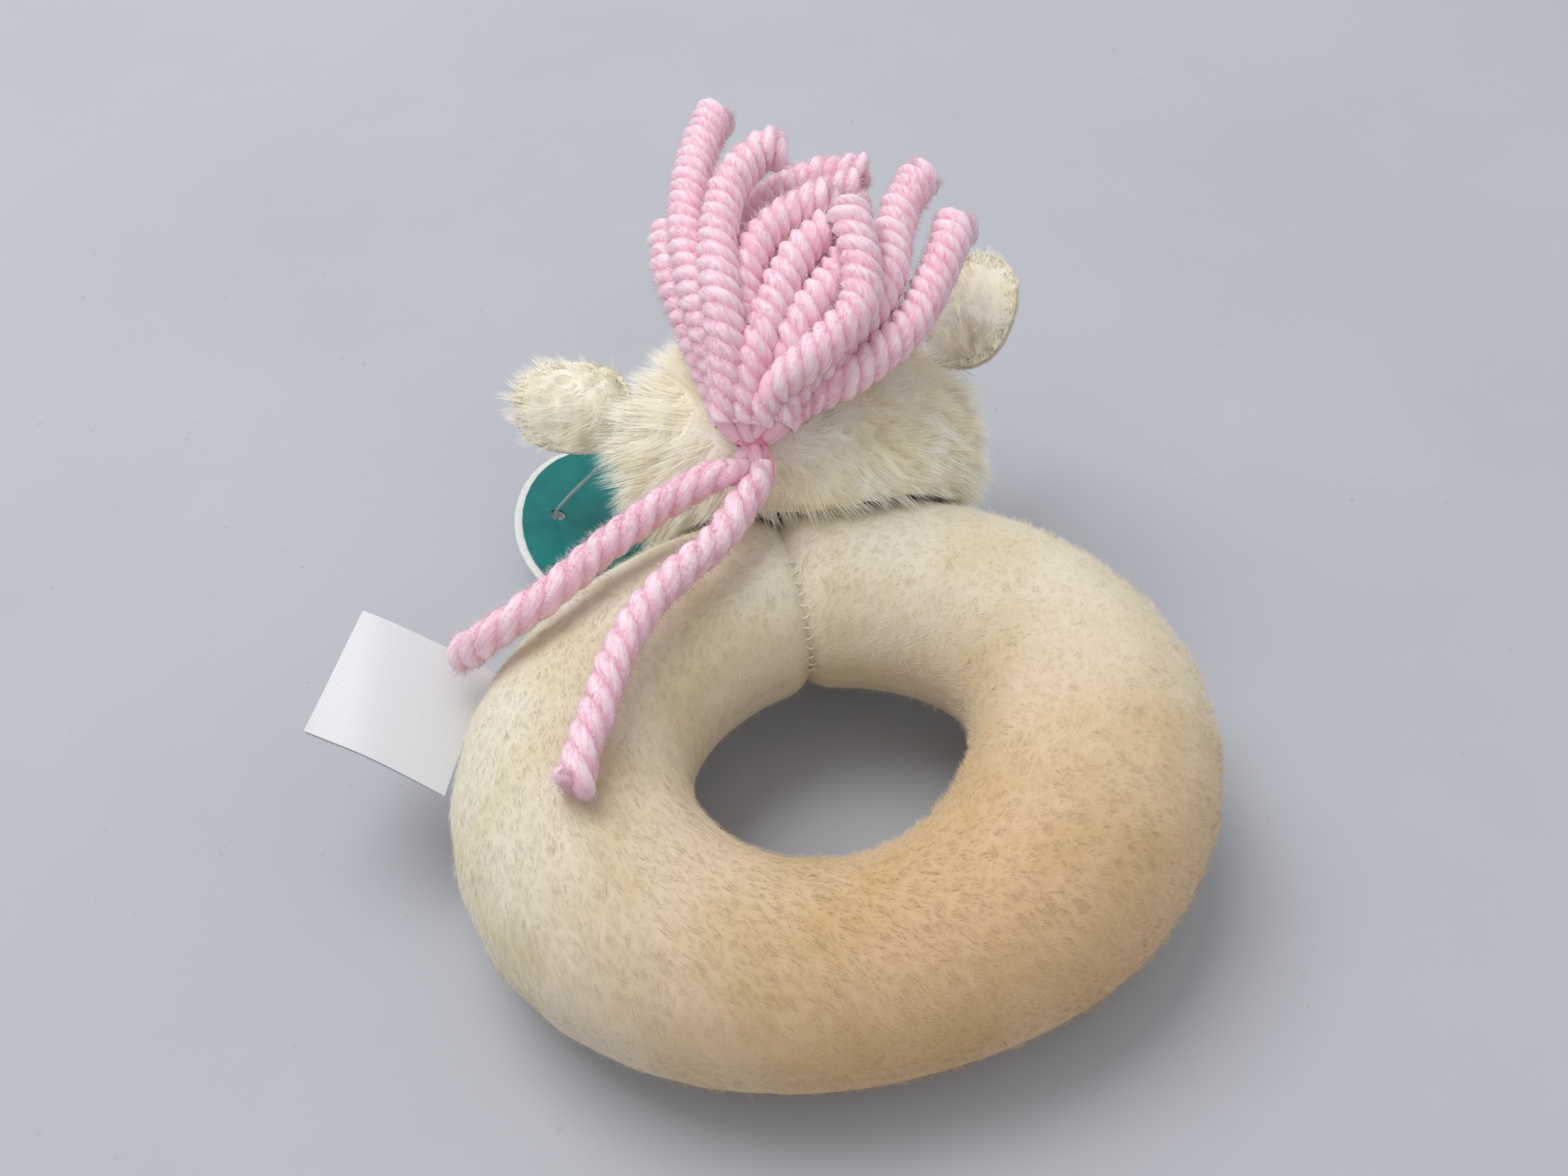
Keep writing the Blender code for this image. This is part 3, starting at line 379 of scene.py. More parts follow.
# Routes in millimetres from the head's middle, each from the tie to the cut end
yarnRoutes = {
    "mane_strand_01": ((-12.5, -17.5, 24), (-14, -11.5, 29), (-16.5, -3.5, 34), (-19, 6, 37.5),
                       (-20.5, 16.5, 39.5), (-20, 27, 41), (-18.5, 37.5, 41.5), (-16, 48, 41.5)),
    "mane_strand_02": ((-13.5, -15.5, 22), (-15, -10.5, 25.2), (-17.5, -4, 29), (-20.2, 3, 31.5),
                       (-23, 11.5, 33.5), (-23.5, 22, 35)),
    "mane_strand_03": ((-13.5, -19.5, 26), (-13, -14.5, 31.2), (-13.5, -7, 37), (-14.5, 2, 40.7),
                       (-14.5, 11.5, 43), (-13, 20.5, 44.5), (-9, 27.5, 45.5), (-3.5, 30, 46.5)),
    "mane_strand_04": ((-10.5, -15.5, 22), (-12, -8, 25.3), (-14.2, 2, 29.2), (-14, 12, 32.5),
                       (-11, 21.5, 34.5), (-5.5, 30, 35.5), (2.5, 35.5, 36), (12, 37.5, 35.5)),
    "mane_strand_05": ((-7.5, -15.5, 22), (-7.8, -10, 25.8), (-8.8, -2, 29.6), (-8.5, 6.5, 32.8),
                       (-7.5, 15, 35), (-3.5, 23, 36), (2.5, 28.5, 36.5), (10.5, 32, 36.5)),
    "mane_strand_06": ((-9.5, -17.5, 24), (-10, -13, 28), (-10.5, -7, 32.4), (-10.5, -0.5, 36),
                       (-9.5, 5.5, 39), (-6.5, 12, 41), (-1.5, 17, 42), (5, 20.5, 42.5)),
    "mane_strand_07": ((-10.5, -19.5, 26), (-9.5, -15, 30.8), (-7.5, -9, 35), (-5, -1.5, 37.4),
                       (-1, 7, 40), (5.5, 15, 41)),
    "mane_strand_08": ((-6.5, -17.5, 24), (-6, -14, 28), (-4, -11, 32.2), (-1, -6, 35.6),
                       (2.7, 0, 37.3), (7.5, 8.5, 37.8)),
    "mane_strand_09": ((-7.5, -19.5, 26), (-5.5, -17, 30.8), (-0.5, -14.5, 34.4), (4.5, -10.5, 36.9),
                       (8.5, -5.5, 38.8), (9.2, 1, 41.2), (8.5, 7, 43.5), (7, 14, 45.5)),
    "mane_strand_10": ((-4.5, -19.5, 26), (-1.5, -14.5, 29.8), (4.5, -8.5, 32.2), (10, -2, 34.3),
                       (13.8, 5.5, 36.8), (15.2, 14.5, 38.5), (17.5, 23, 39.5), (21, 31.5, 39.5)),
    "mane_strand_11": ((-3.5, -17.5, 24), (0, -14.2, 26.2), (6.5, -11.5, 28.8), (12.7, -7, 30.8),
                       (18.2, -1, 32.3), (21.7, 6.5, 34), (24.5, 14, 35.5), (27, 22, 36)),
    "mane_strand_12": ((-4.5, -15.5, 22), (-4.3, -10.5, 25.3), (-3.8, -4, 28.6), (-1, 2, 31),
                       (5.5, 9, 32.6), (13, 17, 33.6)),
    "tail_left": ((-11.3, -21.4, 19.8), (-11.8, -22.7, 18.3), (-16.2, -23.1, 16.9), (-24.4, -26.7, 14),
                  (-33.5, -34.6, 12.1), (-41, -42.7, 10.8), (-47.8, -47.1, 8.2), (-52.9, -48.1, 4.4),
                  (-56.8, -46.4, -1)),
    "tail_right": ((-6.9, -21.5, 19.7), (-7.4, -23.6, 17.8), (-10.2, -28, 15.9), (-14.7, -35.1, 14.3),
                   (-20.8, -42.1, 13.8), (-26.2, -49.7, 12.9), (-29.6, -57.9, 11.9), (-31.8, -66.6, 10.6),
                   (-33.8, -74.1, 9.7), (-35, -81.4, 8.8)),
}


def smoothRoute(route, steps):  # a smooth curve through the route's own points
    route = [Vector(p) for p in route]
    padded = [2 * route[0] - route[1], *route, 2 * route[-1] - route[-2]]
    line = []
    for a, b, c, d in zip(padded, padded[1:], padded[2:], padded[3:]):
        for step in range(steps):
            t = step / steps
            line.append(0.5 * (2 * b + (c - a) * t + (2 * a - 5 * b + 4 * c - d) * t ** 2
                               + (3 * b - 3 * c + d - a) * t ** 3))
    return line + [route[-1]]


def evenLine(line, step):  # the same line with points a step apart, and the length there
    places = np.array([list(p) for p in line], float)
    travelled = np.concatenate(([0], np.cumsum(np.linalg.norm(np.diff(places, axis=0), axis=1))))
    at = np.linspace(0, travelled[-1], max(3, int(travelled[-1] / step) + 1))
    return np.stack([np.interp(at, travelled, places[:, k]) for k in range(3)], axis=1), at


def carriedFrames(line):  # two directions across a line, carried along it without twist
    along = unit(np.gradient(line, axis=0))
    side = np.cross(along[0], (0.0, 0.0, 1.0))
    if np.linalg.norm(side) < 0.1:
        side = np.cross(along[0], (1.0, 0.0, 0.0))
    sides = []
    for direction in along:
        side = side - direction * np.dot(side, direction)
        side = side / np.linalg.norm(side)
        sides.append(side)
    sides = np.array(sides)
    return along, sides, np.cross(along, sides)


def tubeArrays(centres, acrossA, acrossB, radii, sides):  # a closed tube with a point at each end
    turns = np.linspace(0, 2 * math.pi, sides, endpoint=False)
    rings = (centres[:, None] + radii[:, None, None] * (acrossA[:, None] * np.cos(turns)[None, :, None]
                                                        + acrossB[:, None] * np.sin(turns)[None, :, None]))
    count = len(centres)
    places = np.concatenate([rings.reshape(-1, 3), centres[:1], centres[-1:]])
    i, j = np.meshgrid(np.arange(count - 1) * sides, np.arange(sides), indexing="ij")
    nextJ = (j + 1) % sides
    quads = np.stack([i + j, i + nextJ, i + sides + nextJ, i + sides + j], axis=-1)
    ends = np.arange(sides)
    last = (count - 1) * sides
    startFan = np.stack([np.full(sides, count * sides), (ends + 1) % sides, ends], axis=1)
    endFan = np.stack([np.full(sides, count * sides + 1), last + ends, last + (ends + 1) % sides], axis=1)
    faces = np.concatenate([quads.ravel(), startFan.ravel(), endFan.ravel()])
    sizes = np.concatenate([np.full(len(quads.reshape(-1, 4)), 4), np.full(2 * sides, 3)])
    return places, faces, sizes


def overTube(values, sides):  # each ring's value for all of its points, and for the points at both ends
    return np.concatenate([np.repeat(values, sides, axis=0), values[:1], values[-1:]])


def raiseRidges(places, centres, at, length, sides, height, rng):  # bundles of filaments along a tube
    knots = max(4, int(length / yarnLook["ridgeLength"]))
    ridges = np.stack([np.interp(at, np.linspace(0, length, knots), rng.normal(0, height, knots))
                       for _ in range(sides)], axis=1).ravel()[:, None]
    hub = np.repeat(centres, sides, axis=0)
    places[:len(hub)] = hub + (places[:len(hub)] - hub) * (1 + ridges)


hairPoints = 4
hairRise = (0, 0, 0, 1)  # three points at the foot and one at the tip
hairSection = ((0.5, 0.05), (0.0, -0.12), (-0.5, 0.05))  # the foot's points, in shares of the width
hairAcross = (0, 0.4, 0.8, 0.4)  # where its points lie across its place on the bake's map
hairFaces = (0, 1, 3, 1, 2, 3, 2, 0, 3, 2, 1, 0)


def hairArrays(roots, tips, widths, up):  # closed three-sided hairs, flat side outwards
    along = unit(tips - roots)
    sideA = unit(np.cross(along, up + along[:, [1, 2, 0]] * 0.01))
    sideB = np.cross(sideA, along)
    feet = [roots + (sideA * a + sideB * b) * widths[:, None] for a, b in hairSection]
    places = np.stack([*feet, tips], axis=1).reshape(-1, 3)
    faces = np.arange(len(roots))[:, None] * hairPoints + np.array(hairFaces)[None]
    return places, faces.ravel(), np.full(4 * len(roots), 3)


def shareNormals(piece, outward, share, leastFacing=0.3):  # a soft surface takes the light as one
    mesh = piece.data
    perFace = readRows(mesh.polygons, "loop_total", 1, np.int32).ravel()
    facing = np.repeat(readRows(mesh.polygons, "normal", 3), perFace, axis=0)
    blended = unit(vertexNormals(mesh) * (1 - share) + outward * share)[cornerPoints(mesh)]
    turned = (blended * facing).sum(1, keepdims=True)
    # never away from the face's own side
    blended = unit(blended + facing * np.maximum(0, leastFacing - turned))
    mesh.normals_split_custom_set(blended.tolist())


def joinArrays(parts):  # several (places, faces, sizes, values...) end to end
    offsets = np.cumsum([0] + [len(part[0]) for part in parts])
    faces = np.concatenate([part[1] + offset for part, offset in zip(parts, offsets)])
    rest = [np.concatenate([part[k] for part in parts]) for k in range(2, len(parts[0]))]
    return [np.concatenate([part[0] for part in parts]), faces, *rest]


# plied acrylic: bright soft fibre, painted deeper pink as shade in the grooves and paler on the plies' crowns
acrylic, tree, shader = newMaterial("plied acrylic yarn")
tone = addNode(tree, "Attribute", {"attribute_name": "tone"})
lay = addNode(tree, "UVMap", {"uv_map": "lay"})  # 10 mm to the unit along the strand
# 60 x 0.05 is 3 streaks to 10 mm, and 60 x 0.24 one to about 0.6 mm across: real filaments are finer,
# and are drawn as coarse as this so that they show
stretch = addNode(tree, "Mapping", inputs={"Vector": lay.outputs["UV"], "Scale": (0.05, 0.24, 1.0)})
fibres = addNode(tree, "TexNoise", inputs={"Vector": stretch.outputs["Vector"], "Scale": 60.0, "Detail": 3.0})
streaks = addNode(tree, "MapRange", inputs={"Value": fibres.outputs["Fac"], "From Min": 0.3, "From Max": 0.7,
                                            "To Min": -0.34, "To Max": 0.34})
toned = addNode(tree, "Math", {"operation": "ADD", "use_clamp": True},
                {0: tone.outputs["Fac"], 1: streaks.outputs["Result"]})
yarnColour = addNode(tree, "ValToRGB", inputs={"Fac": toned.outputs["Value"]},
                     stops=((0.0, "f9a8c2"), (0.45, "fdc4d6"), (1.0, "ffe6ee")))
yarnBump = addNode(tree, "Bump", inputs={"Height": fibres.outputs["Fac"], "Strength": 0.7,
                                         "Distance": 0.14 * mm})
setShader(shader, Base_Color=yarnColour.outputs["Color"], Normal=yarnBump.outputs["Normal"], Roughness=0.5,
          Sheen_Weight=0.6, Sheen_Roughness=0.4, Sheen_Tint="ffe4ee", Specular_IOR_Level=0.35,
          Subsurface_Weight=0.2, Subsurface_Radius=(1.0, 0.7, 0.75), Subsurface_Scale=0.9 * mm)

yarnLines = []  # every yarn's line and half thickness, which the pile keeps clear of


def looseFibres(line, at, frames, size, plyEnds, yarn, rng):  # short ones along it, a brush at the cut end
    look = yarnLook
    half = yarn["diameter"] / 2
    along, sideA, sideB = frames
    count = int(at[-1] / mm * look["fibresPerMm"])
    where = rng.integers(2, len(line) - 3, count)
    angle = rng.uniform(0, 2 * math.pi, count)
    out = sideA[where] * np.cos(angle)[:, None] + sideB[where] * np.sin(angle)[:, None]
    drift = along[where] * rng.choice((-1, 1), count)[:, None] * rng.uniform(0.3, 1.3, count)[:, None]
    spin = np.cross(along[where], out) * rng.uniform(-1.2, 0.4, count)[:, None]
    roots = line[where] + out * (half * size[where] * rng.uniform(0.9, 1.08, count))[:, None]
    reach = look["fibreLength"] * rng.uniform(0.4, 1.0, count) * size[where]
    tips = roots + unit(out * rng.uniform(0.4, 1.8, count)[:, None] + drift + spin) * reach[:, None]
    brush = look["brush"] * look["plies"]
    plyEnd = np.array(plyEnds)[np.arange(brush) % look["plies"]]
    around = rng.uniform(0, 2 * math.pi, (brush, 1))
    endOut = sideA[-1] * np.cos(around) + sideB[-1] * np.sin(around)
    endRoots = (plyEnd + endOut * (half * look["plyShare"] * 0.9 * np.sqrt(rng.uniform(0, 1, (brush, 1))))
                - along[-1] * rng.uniform(0.8, 2.2, (brush, 1)) * mm)
    endWay = unit(along[-1] + endOut * rng.uniform(-0.1, 0.5, (brush, 1)) + 0.5 * unit(plyEnd - line[-1])
                  + rng.normal(0, 0.22, (brush, 3)))
    endTips = endRoots + endWay * (look["brushLength"] * rng.uniform(0.5, 1.0, (brush, 1)))
    roots, tips = np.concatenate([roots, endRoots]), np.concatenate([tips, endTips])
    hubs = np.concatenate([line[where], np.repeat(line[-1:], brush, axis=0)])
    past = tips - hubs  # no fibre strays far from its yarn
    most = yarn["diameter"] * 0.65 + look["mostPast"]
    tips = hubs + past * np.minimum(1, most / np.linalg.norm(past, axis=1, keepdims=True))
    out = np.concatenate([out, unit(endOut + 0.3 * along[-1])])
    widths = look["fibreWidth"] * rng.uniform(0.7, 1.3, len(roots))
    places, faces, sizes = hairArrays(roots, tips, widths, out)
    tone = np.repeat(rng.uniform(0.55, 0.95, len(roots)), hairPoints)
    fibreAt = np.repeat(np.concatenate([at[where], np.full(brush, at[-1])]), hairPoints)
    spread = np.tile(np.linspace(0, 1, hairPoints), len(roots))
    row = np.repeat(rng.uniform(0, 1, len(roots)), hairPoints)
    return (places, faces, sizes, tone, fibreAt / mm * 0.1, spread * 0.1,
            fibreAt / (100 * mm) + spread * 0.004,
            (look["plies"] + 0.1 + 0.8 * row + 0.02 * spread) / (look["plies"] + 1),
            np.repeat(out, hairPoints, axis=0))


def twistedYarn(node, route, yarn, seed):
    rng = np.random.default_rng(seed)
    look, sides = yarnLook, yarnLook["sides"]
    line, at = evenLine([headCentre + p * mm for p in smoothRoute(route, 10)], look["step"])
    length = at[-1]
    frames = carriedFrames(line)
    _, sideA, sideB = frames
    size = yarn["tiedShare"] + (1 - yarn["tiedShare"]) * np.clip(at / yarn["taper"], 0, 1) ** 0.7
    size = yarn["full"] * size
    reach = yarn["diameter"] / 2 * size
    yarnLines.append((line, reach))
    fray = np.clip((at - length + look["frayLength"]) / look["frayLength"], 0, 1)
    phase = rng.uniform(0, 2 * math.pi)
    parts, plyEnds = [], []
    for ply in range(look["plies"]):
        short = int(round(rng.uniform(0.3, 1) * look["plyUneven"] / look["step"])) if ply else 0
        last = len(line) - short
        turn = phase + 2 * math.pi * ply / look["plies"] - 2 * math.pi * at / yarn["lead"]
        spread = 1 + look["fraySpread"] * fray ** 1.5
        wander = 1 + look["wander"] * np.sin(at / look["wanderLength"] + ply * 2 + phase)
        orbit = reach * look["orbitShare"] * spread * wander
        centres = line + orbit[:, None] * (sideA * np.cos(turn)[:, None] + sideB * np.sin(turn)[:, None])
        uneven = (1 + look["uneven"] * np.sin(at / look["unevenLength"] + 4 * ply)
                  + look["jitter"] * rng.standard_normal(len(at)))
        radii = reach * look["plyShare"] * uneven * (1 + look["fraySwell"] * fray)
        rounded = np.clip((np.arange(len(at))[:last][::-1] + 0.3) * look["step"] / look["endLength"], 0, 1)
        radii = radii[:last] * np.sqrt(1 - (1 - rounded) ** 2)
        plyEnds.append(centres[last - 1])
        places, faces, sizes = tubeArrays(centres[:last], sideA[:last], sideB[:last], radii, sides)
        raiseRidges(places, centres[:last], at[:last], length, sides, look["ridge"], rng)
        core, ringsAlong = overTube(line[:last], sides), overTube(at[:last], sides)
        ringsRound = np.concatenate([np.tile(np.arange(sides) / sides, last), [0.5, 0.5]])
        folded = 1 - np.abs(2 * ringsRound - 1)  # no jump where the tube closes
        # painted light: a ply is painted pale on its outer side and deeper pink as shade in the groove, and
        # it is pale at its cut end
        away = np.linalg.norm(places - core, axis=1) / overTube(reach[:last], sides)
        paintedLight = look["paintedGrooveShade"] + look["shadeGain"] * (away - look["grooveAt"]) / look["grooveWidth"]
        shade = np.maximum(np.clip(paintedLight, 0, look["mostShade"]),
                           look["cutShade"] * overTube(fray[:last], sides) ** 3)
        parts.append((places, faces, sizes, shade, ringsAlong / mm * 0.1 + ply * 3.1,
                      folded * 0.8 + ply * 0.37, ringsAlong / (100 * mm),
                      (ply + 0.05 + 0.9 * folded) / (look["plies"] + 1), unit(places - core)))
    parts.append(looseFibres(line, at, frames, size, plyEnds, yarn, rng))
    places, faces, sizes, shade, layAlong, layRound, bakeAlong, bakeRound, outward = joinArrays(parts)
    piece = meshFromArrays(node + "_yarn", places, faces, sizes)
    addAttribute(piece.data, "tone", shade)
    addMap(piece.data, "OFBake", bakeAlong, bakeRound)
    addMap(piece.data, "lay", layAlong, layRound)
    wear(piece, acrylic)
    smoothFaces(piece)
    shareNormals(piece, outward, look["soft"])
    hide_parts(node)
    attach(piece, "toy")


for number, (node, route) in enumerate(yarnRoutes.items()):
    twistedYarn(node, route, tailYarn if node.startswith("tail") else maneYarn, 40 + number)
print("yarn is twisted:", len(yarnRoutes), "strands")

yarnTree = treeOf(np.concatenate([line for line, _ in yarnLines]))
yarnHalf = np.concatenate([halves for _, halves in yarnLines])


# Filled forms

fillLook = {"voxel": 2.2 * mm, "smooth": 4, "startIn": 1.1 * mm, "mostSwell": 1.1 * mm, "fillShare": 0.8,
            "pressure": 4.0, "quality": 5, "frames": 20}
ringRest = 0.7 * mm  # how high the ring's cover lies over the floor, on its pile
muzzleRest = 0.5 * mm


def blowUp(piece, look):  # pressed out by its filling, no point too far, and then filled up to its size
    start = meshPoints(piece.data)
    outward = vertexNormals(piece.data)
    wanted = look["mostSwell"] * look["fillShare"]
    cloth = piece.modifiers.new("cloth", "CLOTH")
    cloth.settings.use_pressure = True
    cloth.settings.uniform_pressure_force = look["pressure"]
    cloth.settings.effector_weights.gravity = 0.0
    cloth.settings.quality = look["quality"]
    cloth.point_cache.frame_start, cloth.point_cache.frame_end = 1, look["frames"]
    for number in range(1, look["frames"] + 1):
        bpy.context.scene.frame_set(number)
    blown = meshPoints(piece.evaluated_get(bpy.context.evaluated_depsgraph_get()).to_mesh())
    piece.modifiers.remove(cloth)
    bpy.context.scene.frame_set(1)
    moved = blown - start
    far = np.linalg.norm(moved, axis=1, keepdims=True)
    moved = moved * np.minimum(1, look["mostSwell"] / np.maximum(far, 1e-9))
    missing = wanted - np.median((moved * outward).sum(1))
    print(piece.name, "swells", round(float(np.median(far)) / mm, 2), "mm, filled by",
          round(float(missing) / mm, 2))
    movePoints(piece.data, start + moved + outward * missing)


def restOn(piece, height):  # nothing lies lower than this
    places = meshPoints(piece.data)
    places[:, 2] = np.maximum(places[:, 2], height)
    movePoints(piece.data, places)


def filledForm(name, names, look, rest=None):  # remeshed, blown up as a filling does, and made finer
    piece = copyOfNodes(name, names)
    applyModifier(piece, "REMESH", mode="VOXEL", voxel_size=look["voxel"])
    keepLargestPart(piece)
    applyModifier(piece, "SMOOTH", factor=0.5, iterations=look["smooth"])
    editAll(piece, lambda: bpy.ops.transform.shrink_fatten(value=-look["startIn"]))
    blowUp(piece, look)
    applyModifier(piece, "SUBSURF", levels=1, render_levels=1)
    if rest is not None:
        restOn(piece, rest)
    return piece


ringForm = filledForm("ring_form", ("ring_stuffing_left", "ring_stuffing_right", "ring_back_left",
                                    "ring_back_right", "ring_front_left", "ring_front_right"),
                      fillLook, ringRest)
print("ring form", len(ringForm.data.vertices), "points")
headForm = filledForm("head_form", ("head_back_cover", "head_face_cover", "head_back_stuffing",
                                    "head_face_stuffing"), {**fillLook, "startIn": 1.6 * mm})
muzzleForm = filledForm("muzzle_form", ("muzzle_cover", "muzzle_stuffing"), {**fillLook, "voxel": 1.4 * mm},
                        muzzleRest)
print("filled forms are blown up")

# Seams: stitched lines draw the covers in

seamLook = {"topSeam": {"depth": 2.2 * mm, "width": 1.7 * mm},
            "bottomSeam": {"depth": 0.22 * mm, "width": 1.6 * mm},
            "edge": {"depth": 0.18 * mm, "width": 1.6 * mm}}


def cutAlong(piece, place, normal):  # new edges along a plane
    editAll(piece, lambda: bpy.ops.mesh.bisect(plane_co=place, plane_no=normal))


fromRing = toRing.inverted()
ringUp = (fromRing.to_3x3() @ Vector((0, 0, 1))).normalized()
cutAlong(ringForm, fromRing.translation, ringUp)
for seam in ("topSeam", "bottomSeam"):
    seamPlace, _, seamRound = ringStation(ring[seam])
    cutAlong(ringForm, fromRing @ seamPlace, fromRing.to_3x3() @ seamRound)


def seamDistance(flat, seam):  # signed, along the ring, and far away on the other side of the hole
    place, _, way = ringStation(ring[seam])
    distance = (flat - np.array(place)) @ np.array(way)
    return np.where(flat @ np.array(place) > 0, distance, 1.0)


def drawIn(piece):
    places = meshPoints(piece.data)
    flat = inRing(places)
    depth = np.zeros(len(places))
    for seam in ("topSeam", "bottomSeam"):
        away = seamDistance(flat, seam) / seamLook[seam]["width"]
        depth += seamLook[seam]["depth"] * np.exp(-np.abs(away) ** 1.3)
    edge = seamLook["edge"]
    depth += edge["depth"] * np.exp(-(flat[:, 2] / edge["width"]) ** 2)
    movePoints(piece.data, places - vertexNormals(piece.data) * depth[:, None])
    restOn(piece, ringRest)


drawIn(ringForm)


# Pile: every hair is a closed three-sided spike that grows out of the cover

pileLook = {"shortest": 0.5 * mm, "rootDepth": 0.25 * mm, "lowest": 0.12 * mm}


def spotsOn(mesh, perSquareMm, rng):  # random spots, as many to each square millimetre, and the normals there
    mesh.calc_loop_triangles()
    corners = readRows(mesh.loop_triangles, "vertices", 3, np.int32)
    places, normals = meshPoints(mesh), vertexNormals(mesh)
    a, b, c = (places[corners[:, k]] for k in range(3))
    area = np.linalg.norm(np.cross(b - a, c - a), axis=1) / 2
    count = int(area.sum() / mm ** 2 * perSquareMm)
    pick = corners[rng.choice(len(corners), count, p=area / area.sum())]
    u, v = rng.random((2, count, 1))
    over = u + v > 1
    u, v = np.where(over, 1 - u, u), np.where(over, 1 - v, v)
    spots, ways = (rows[pick[:, 0]] * (1 - u - v) + rows[pick[:, 1]] * u + rows[pick[:, 2]] * v
                   for rows in (places, normals))
    return spots, unit(ways)


def alongSkin(rows, normals):
    return rows - normals * (rows * normals).sum(1, keepdims=True)


def growPile(name, skin, look, flowAt, seed, avoid=None):
    rng = np.random.default_rng(seed)
    roots, normals = spotsOn(skin.data, look["perSquareMm"], rng)
    count = len(roots)
    flow = alongSkin(flowAt(roots), normals)
    # tufts: hairs lean together towards a shared tip, and each tuft strays from the lay in its own way
    heads = rng.choice(count, max(4, int(count * look["tuftShare"])), replace=False)
    tuft, _ = nearestOf(treeOf(roots[heads]), roots)
    stray = rng.normal(0, look["stray"], (len(heads), 3))
    tuftLength = rng.uniform(1 - look["uneven"], 1 + look["uneven"], len(heads))
    flow = alongSkin(flow + stray[tuft] + rng.normal(0, look["stray"] * 0.4, (count, 3)), normals)
    length = look["length"] * tuftLength[tuft] * rng.uniform(0.75, 1.1, count)
    if "lengthAt" in look:
        length = length * look["lengthAt"](roots)
    lean = look["leanAt"](roots)[:, None] if "leanAt" in look else np.full((count, 1), look["lean"])
    # yarn presses the pile down, and none grows right under it
    near, gap = nearestOf(yarnTree, roots)
    under = gap < yarnHalf[near] + length * 0.9
    pressed = np.minimum(length, np.maximum(gap - yarnHalf[near], pileLook["shortest"]))
    length = np.where(under, pressed, length)[:, None]
    keep = gap > yarnHalf[near] * 0.8
    headRoots, headNormals, headFlow = (rows[heads][tuft] for rows in (roots, normals, flow))
    tuftTips = headRoots + unit(headNormals * (1 - lean) + headFlow * lean) * length
    ownTips = roots + unit(normals * (1 - lean) + flow * lean) * length
    tips = ownTips * (1 - look["gather"]) + tuftTips * look["gather"]
    if avoid:  # hairs lie on another piece's skin, not inside it
        for k in np.nonzero(keep)[0]:
            hit, hitNormal, _, _ = avoid["tree"].find_nearest(Vector(tips[k]), avoid["reach"])
            if hit is not None and (Vector(tips[k]) - hit).dot(hitNormal) < avoid["gap"]:
                tips[k] = hit + hitNormal * avoid["gap"]
    tips[:, 2] = np.maximum(tips[:, 2], pileLook["lowest"])
    roots = roots - normals * pileLook["rootDepth"]
    widths = look["width"] * rng.uniform(0.75, 1.25, count)
    roots, tips, widths, tuft, normals = (rows[keep] for rows in (roots, tips, widths, tuft, normals))
    # fur scatters the light that falls from above, so its hairs turn their flat side up
    skyward = look["skyward"] * np.clip(normals[:, 2:] + 0.5, 0, 1)
    catching = unit(normals + skyward * np.array([0.0, 0.0, 1.0]))
    tone = rng.uniform(0, 1, len(heads))[tuft] * 0.6 + rng.uniform(0, 1, len(roots)) * 0.4
    piece = meshFromArrays(name, *hairArrays(roots, tips, widths, catching))
    addAttribute(piece.data, "tone", np.repeat(tone, hairPoints))
    addAttribute(piece.data, "rise", np.tile(hairRise, len(roots)))
    # each hair has its own small place on the bake's map, in rows
    perRow = math.ceil(math.sqrt(len(roots)))
    cell = 1 / perRow
    row, column = np.divmod(np.arange(len(roots)), perRow)
    u = np.repeat((column + 0.1) * cell, hairPoints) + np.tile(np.array(hairAcross) * cell, len(roots))
    v = np.repeat((row + 0.1) * cell, hairPoints) + np.tile(np.array(hairRise) * 0.8 * cell, len(roots))
    addMap(piece.data, "OFBake", u, v)
    smoothFaces(piece)
    shareNormals(piece, np.repeat(catching, hairPoints, axis=0), look["soft"])
    return piece


